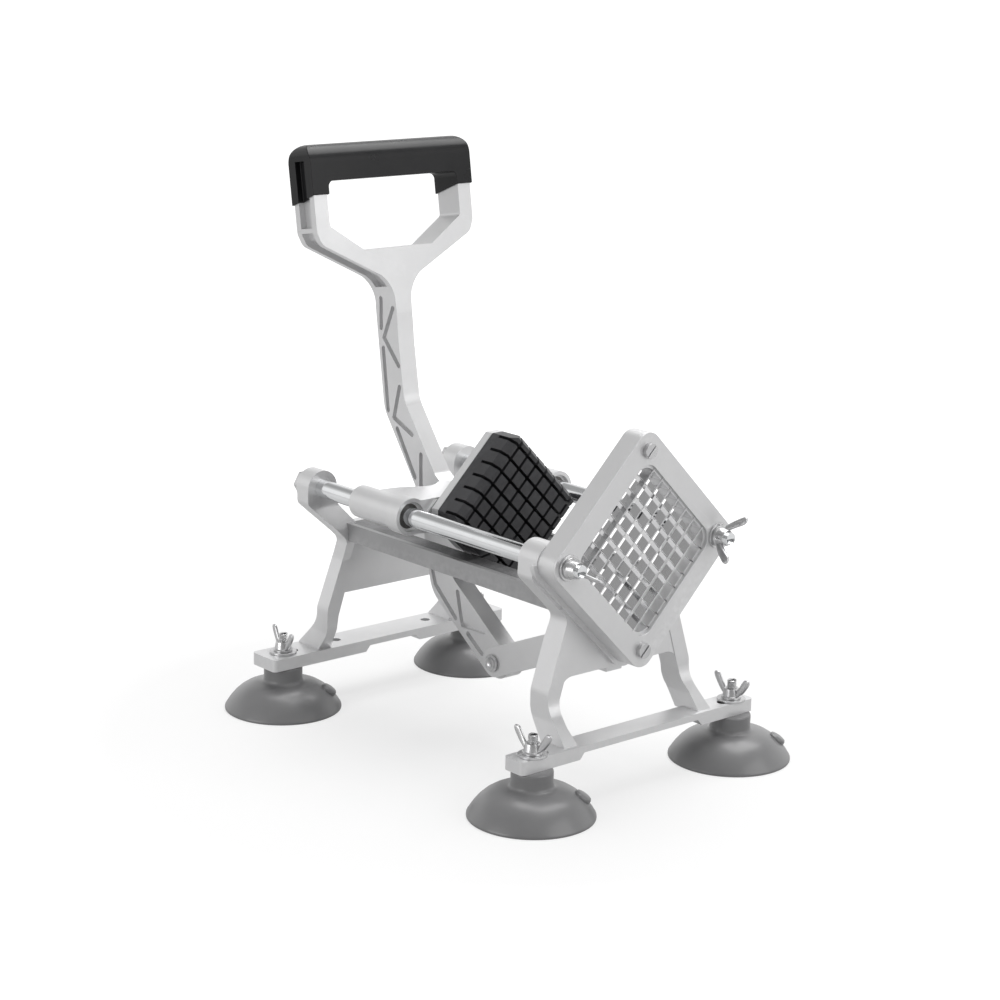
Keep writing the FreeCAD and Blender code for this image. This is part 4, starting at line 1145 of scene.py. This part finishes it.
@dataclass
class Joints:
    """Pins with their snap rings, and the screws. Sizes in millimetres."""

    shop: Workshop
    pins: dict[str, tuple[str, str, float, float, float, float]] = field(default_factory=lambda: {
        "lever_pivot_pin": ("carriage", "pivot_clips", 5.0, 17.9, 40.0, 145.0),
        "crank_pin": ("lever", "crank_pin_clips", 4.0, 14.9, -4.5, 49.8),
        "front_link_pin": ("links", "front_pin_clips", 4.0, 14.9, -93.8, 88.0)})
    groove_depth: float = 0.7
    ring_width: float = 1.7
    ring_half: float = 0.45
    ring_turn: float = 318.0
    spacer_width: float = 1.2

    def pin(self, node: str, body: str, clips: str, radius: float, half: float, y: float, z: float) -> None:
        """Turn a pin with dished ends and snap two open rings into its grooves.

        Args:
            node: The pin's frame node.
            body: The body it rides on.
            clips: The rings' frame node.
            radius: The pin's radius.
            half: Half its length.
            y: Its place along the cutter.
            z: Its height.
        """
        groove, end = half - 1.6, half
        floor = radius - self.groove_depth
        profile = [(0.0, -end + 0.9), (radius * 0.45, -end + 0.7), (radius * 0.62, -end + 0.05), (radius - 0.6, -end),
                   (radius, -end + 0.6), (radius, -groove - 0.5), (floor, -groove - 0.5), (floor, -groove + 0.5),
                   (radius, -groove + 0.5)]
        turned = lathe(node + "_turned", profile + [(r, -h) for r, h in reversed(profile)], 48)
        set_about(turned, (0.0, y, z), (0.0, 90.0, 0.0))
        self.shop.fit(turned, PLATED, body, [node], "plated_steel", 40.0)
        rings = []
        for side in Side:
            outer, thick = radius + self.ring_width, self.ring_half
            ring = lathe("ring", [(floor, -thick), (outer - 0.15, -thick), (outer, -0.3), (outer, 0.3),
                                  (outer - 0.15, thick), (floor, thick), (floor, -thick)], 40, self.ring_turn)
            set_about(ring, (0.0, 0.0, 0.0), (0.0, 0.0, 70.0))
            set_about(ring, (side.value * groove, y, z), (0.0, 90.0, 0.0))
            snug, rim = radius + 0.02, radius + self.spacer_width
            spacer = lathe("spacer", [(snug, -0.4), (rim, -0.4), (rim, 0.4), (snug, 0.4), (snug, -0.4)], 40)
            set_about(spacer, (side.value * (groove - 0.9), y, z), (0.0, 90.0, 0.0))
            rings += [ring, spacer]
        snap = join(clips + "_sprung", rings)
        self.shop.fit(snap, PLATED, body, [clips], "plated_steel", 40.0)

    def build(self) -> None:
        """Make the pins, their rings and the slotted screws."""
        for node, (body, clips, radius, half, y, z) in self.pins.items():
            self.pin(node, body, clips, radius, half, y, z)
        self.shop.cast("cover_screws", "slotted_screws", "cartridge", PLATED, "plated_steel", 0.35 * MM, 3)
        self.shop.cast("pusher_screws", "round_screws", "carriage", PLATED, "plated_steel", 0.8 * MM, 4)


@dataclass
class CarriedOver:
    """Frame nodes that keep their own shape and only take a finish."""

    shop: Workshop
    finishes: dict[str, Finish] = field(default_factory=lambda: {"hub_bushes": BUSHING})

    def build(self) -> None:
        """Dress every frame node, also those that a piece replaces."""
        for name, node in self.shop.frame["nodes"].items():
            self.shop.dress(node, self.finishes.get(name, PLATED))


@dataclass
class Studio:
    """Floor, light and camera."""

    place: Place = (-0.98794, -1.13560, 0.53277)
    yaw: float = -40.9
    pitch: float = 14.1
    roll: float = 1.1
    lens: float = 88.0
    floor_size: float = 60.0
    floor_tone: float = 0.30
    floor_glow: float = 0.66
    floor_mirrored: float = 0.5
    floor_fade: tuple[float, float] = (0.25, 0.60)
    room: tuple[float, float] = (0.30, 0.42)
    band: tuple[float, float] = (0.42, 0.62)
    backdrop: Place = (0.66, 0.75, 0.0)
    lamps: tuple[tuple[str, Place, float, float], ...] = (
        ("top_lamp", (0.60, 0.20, 1.8), 1.5, 28.0),
        ("front_lamp", (0.55, -1.9, 1.0), 1.6, 14.5),
        ("side_lamp", (-1.9, 0.2, 0.5), 1.2, 12.0))

    def camera(self) -> None:
        """Set the camera where the photograph was taken."""
        data = bpy.data.cameras.new("photo_camera")
        data.lens = self.lens
        data.sensor_width = 36.0
        camera = bpy.data.objects.new("photo_camera", data)
        bpy.context.scene.collection.objects.link(camera)
        yaw, pitch, roll = (math.radians(a) for a in (self.yaw, self.pitch, self.roll))
        back = Vector((math.sin(yaw) * math.cos(pitch), -math.cos(yaw) * math.cos(pitch), math.sin(pitch)))
        level = Vector((math.cos(yaw), math.sin(yaw), 0.0))
        lift = back.cross(level)
        right = math.cos(roll) * level + math.sin(roll) * lift
        upward = -math.sin(roll) * level + math.cos(roll) * lift
        turn = Matrix((right, upward, back)).transposed().to_4x4()
        camera.matrix_world = Matrix.Translation(self.place) @ turn
        bpy.context.scene.camera = camera

    def floor(self) -> None:
        """Lay a white floor that keeps the cutter's shadows."""
        deselect()
        bpy.ops.mesh.primitive_plane_add(size=self.floor_size)
        floor = named("studio_floor")
        settle(floor)
        material = bpy.data.materials.new("floor_paper")
        material.use_nodes = True
        tree = material.node_tree
        shader = tree.nodes["Principled BSDF"]
        shader.inputs["Roughness"].default_value = 0.9
        shader.inputs["Specular IOR Level"].default_value = 0.1
        shader.inputs["Base Color"].default_value = (self.floor_tone, self.floor_tone, self.floor_tone, 1.0)
        shader.inputs["Emission Color"].default_value = (1.0, 1.0, 1.0, 1.0)
        path = tree.nodes.new("ShaderNodeLightPath")
        mirrored = Effects.span(tree, path.outputs["Is Glossy Ray"], 0.0, 1.0, 0.0, self.floor_mirrored)
        seen = self.either(tree, path, mirrored)
        coords = tree.nodes.new("ShaderNodeTexCoord")
        away = tree.nodes.new("ShaderNodeVectorMath")
        away.operation = "LENGTH"
        tree.links.new(coords.outputs["Object"], away.inputs[0])
        white = Effects.span(tree, away.outputs["Value"], *self.floor_fade, self.floor_glow, 1.0)
        tree.links.new(Effects.calc(tree, "MULTIPLY", seen, white), shader.inputs["Emission Strength"])
        floor.data.materials.append(material)

    @staticmethod
    def either(tree: NodeTree, path: Node, mirrored: Socket) -> Socket:
        """Mark the rays that show the background: the camera's, passing ones and mirrored ones.

        Args:
            tree: The tree that gets the nodes.
            path: Its light path node.
            mirrored: How much mirrored rays see of it.

        Returns:
            A socket that is 1 for those that see it whole.
        """
        result = mirrored
        for name in ("Is Camera Ray", "Is Transmission Ray"):
            result = Effects.calc(tree, "MAXIMUM", result, path.outputs[name])
        return result

    def lamp(self, name: str, place: Place, size: float, power: float) -> None:
        """Hang a soft square lamp that looks at the cutter.

        Args:
            name: Name of the lamp.
            place: Where it hangs.
            size: Side of the square.
            power: Watts.
        """
        data = bpy.data.lights.new(name, "AREA")
        data.size = size
        data.energy = power
        lamp = bpy.data.objects.new(name, data)
        bpy.context.scene.collection.objects.link(lamp)
        lamp.location = place
        lamp.rotation_euler = (Vector((0.0, 0.0, 0.15)) - Vector(place)).to_track_quat("-Z", "Y").to_euler()

    def world(self) -> None:
        """Fill the room with soft light, brighter overhead, before a white background."""
        world = bpy.data.worlds.new("white_room")
        bpy.context.scene.world = world
        world.use_nodes = True
        tree = world.node_tree
        sky = tree.nodes["Background"]
        sky.inputs["Color"].default_value = (1.0, 1.0, 1.0, 1.0)
        place = tree.nodes.new("ShaderNodeTexCoord")
        split = tree.nodes.new("ShaderNodeSeparateXYZ")
        tree.links.new(place.outputs["Generated"], split.inputs[0])
        room = Effects.span(tree, split.outputs["Z"], -0.05, 0.75, self.room[0], self.room[1])
        path = tree.nodes.new("ShaderNodeLightPath")
        facing = tree.nodes.new("ShaderNodeVectorMath")
        facing.operation = "DOT_PRODUCT"
        facing.inputs[1].default_value = self.backdrop
        tree.links.new(place.outputs["Generated"], facing.inputs[0])
        behind = Effects.span(tree, facing.outputs["Value"], -0.45, 0.15)
        low = Effects.span(tree, split.outputs["Z"], self.band[0], self.band[1], 1.0, 0.0)
        wall = Effects.calc(tree, "MULTIPLY", behind, low)
        mirrored = Effects.calc(tree, "MULTIPLY", wall, path.outputs["Is Glossy Ray"])
        mix = tree.nodes.new("ShaderNodeMix")
        mix.data_type = "FLOAT"
        mix.inputs[3].default_value = 1.0
        tree.links.new(self.either(tree, path, mirrored), mix.inputs[0])
        tree.links.new(room, mix.inputs[2])
        tree.links.new(mix.outputs[0], sky.inputs["Strength"])

    def build(self) -> None:
        """Set up the whole studio."""
        self.camera()
        self.floor()
        self.world()
        for name, place, size, power in self.lamps:
            self.lamp(name, place, size, power)
        bpy.context.scene.view_settings.view_transform = "Standard"


def main() -> None:
    """Build the cutter's looks in order and report each piece."""
    logging.basicConfig(level=logging.INFO, format="%(name)s: %(message)s")
    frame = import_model()
    for build in (Effects.grain, Effects.scratches, Effects.edge_wear):
        build()
    shop = Workshop(frame)
    Studio().build()
    for assembly in (CarriedOver(shop), Castings(shop), Pusher(shop), Grip(shop), Blades(shop), Rods(shop),
                     WingNuts(shop), Feet(shop), Joints(shop)):
        assembly.build()


if __name__ == "__main__":
    main()
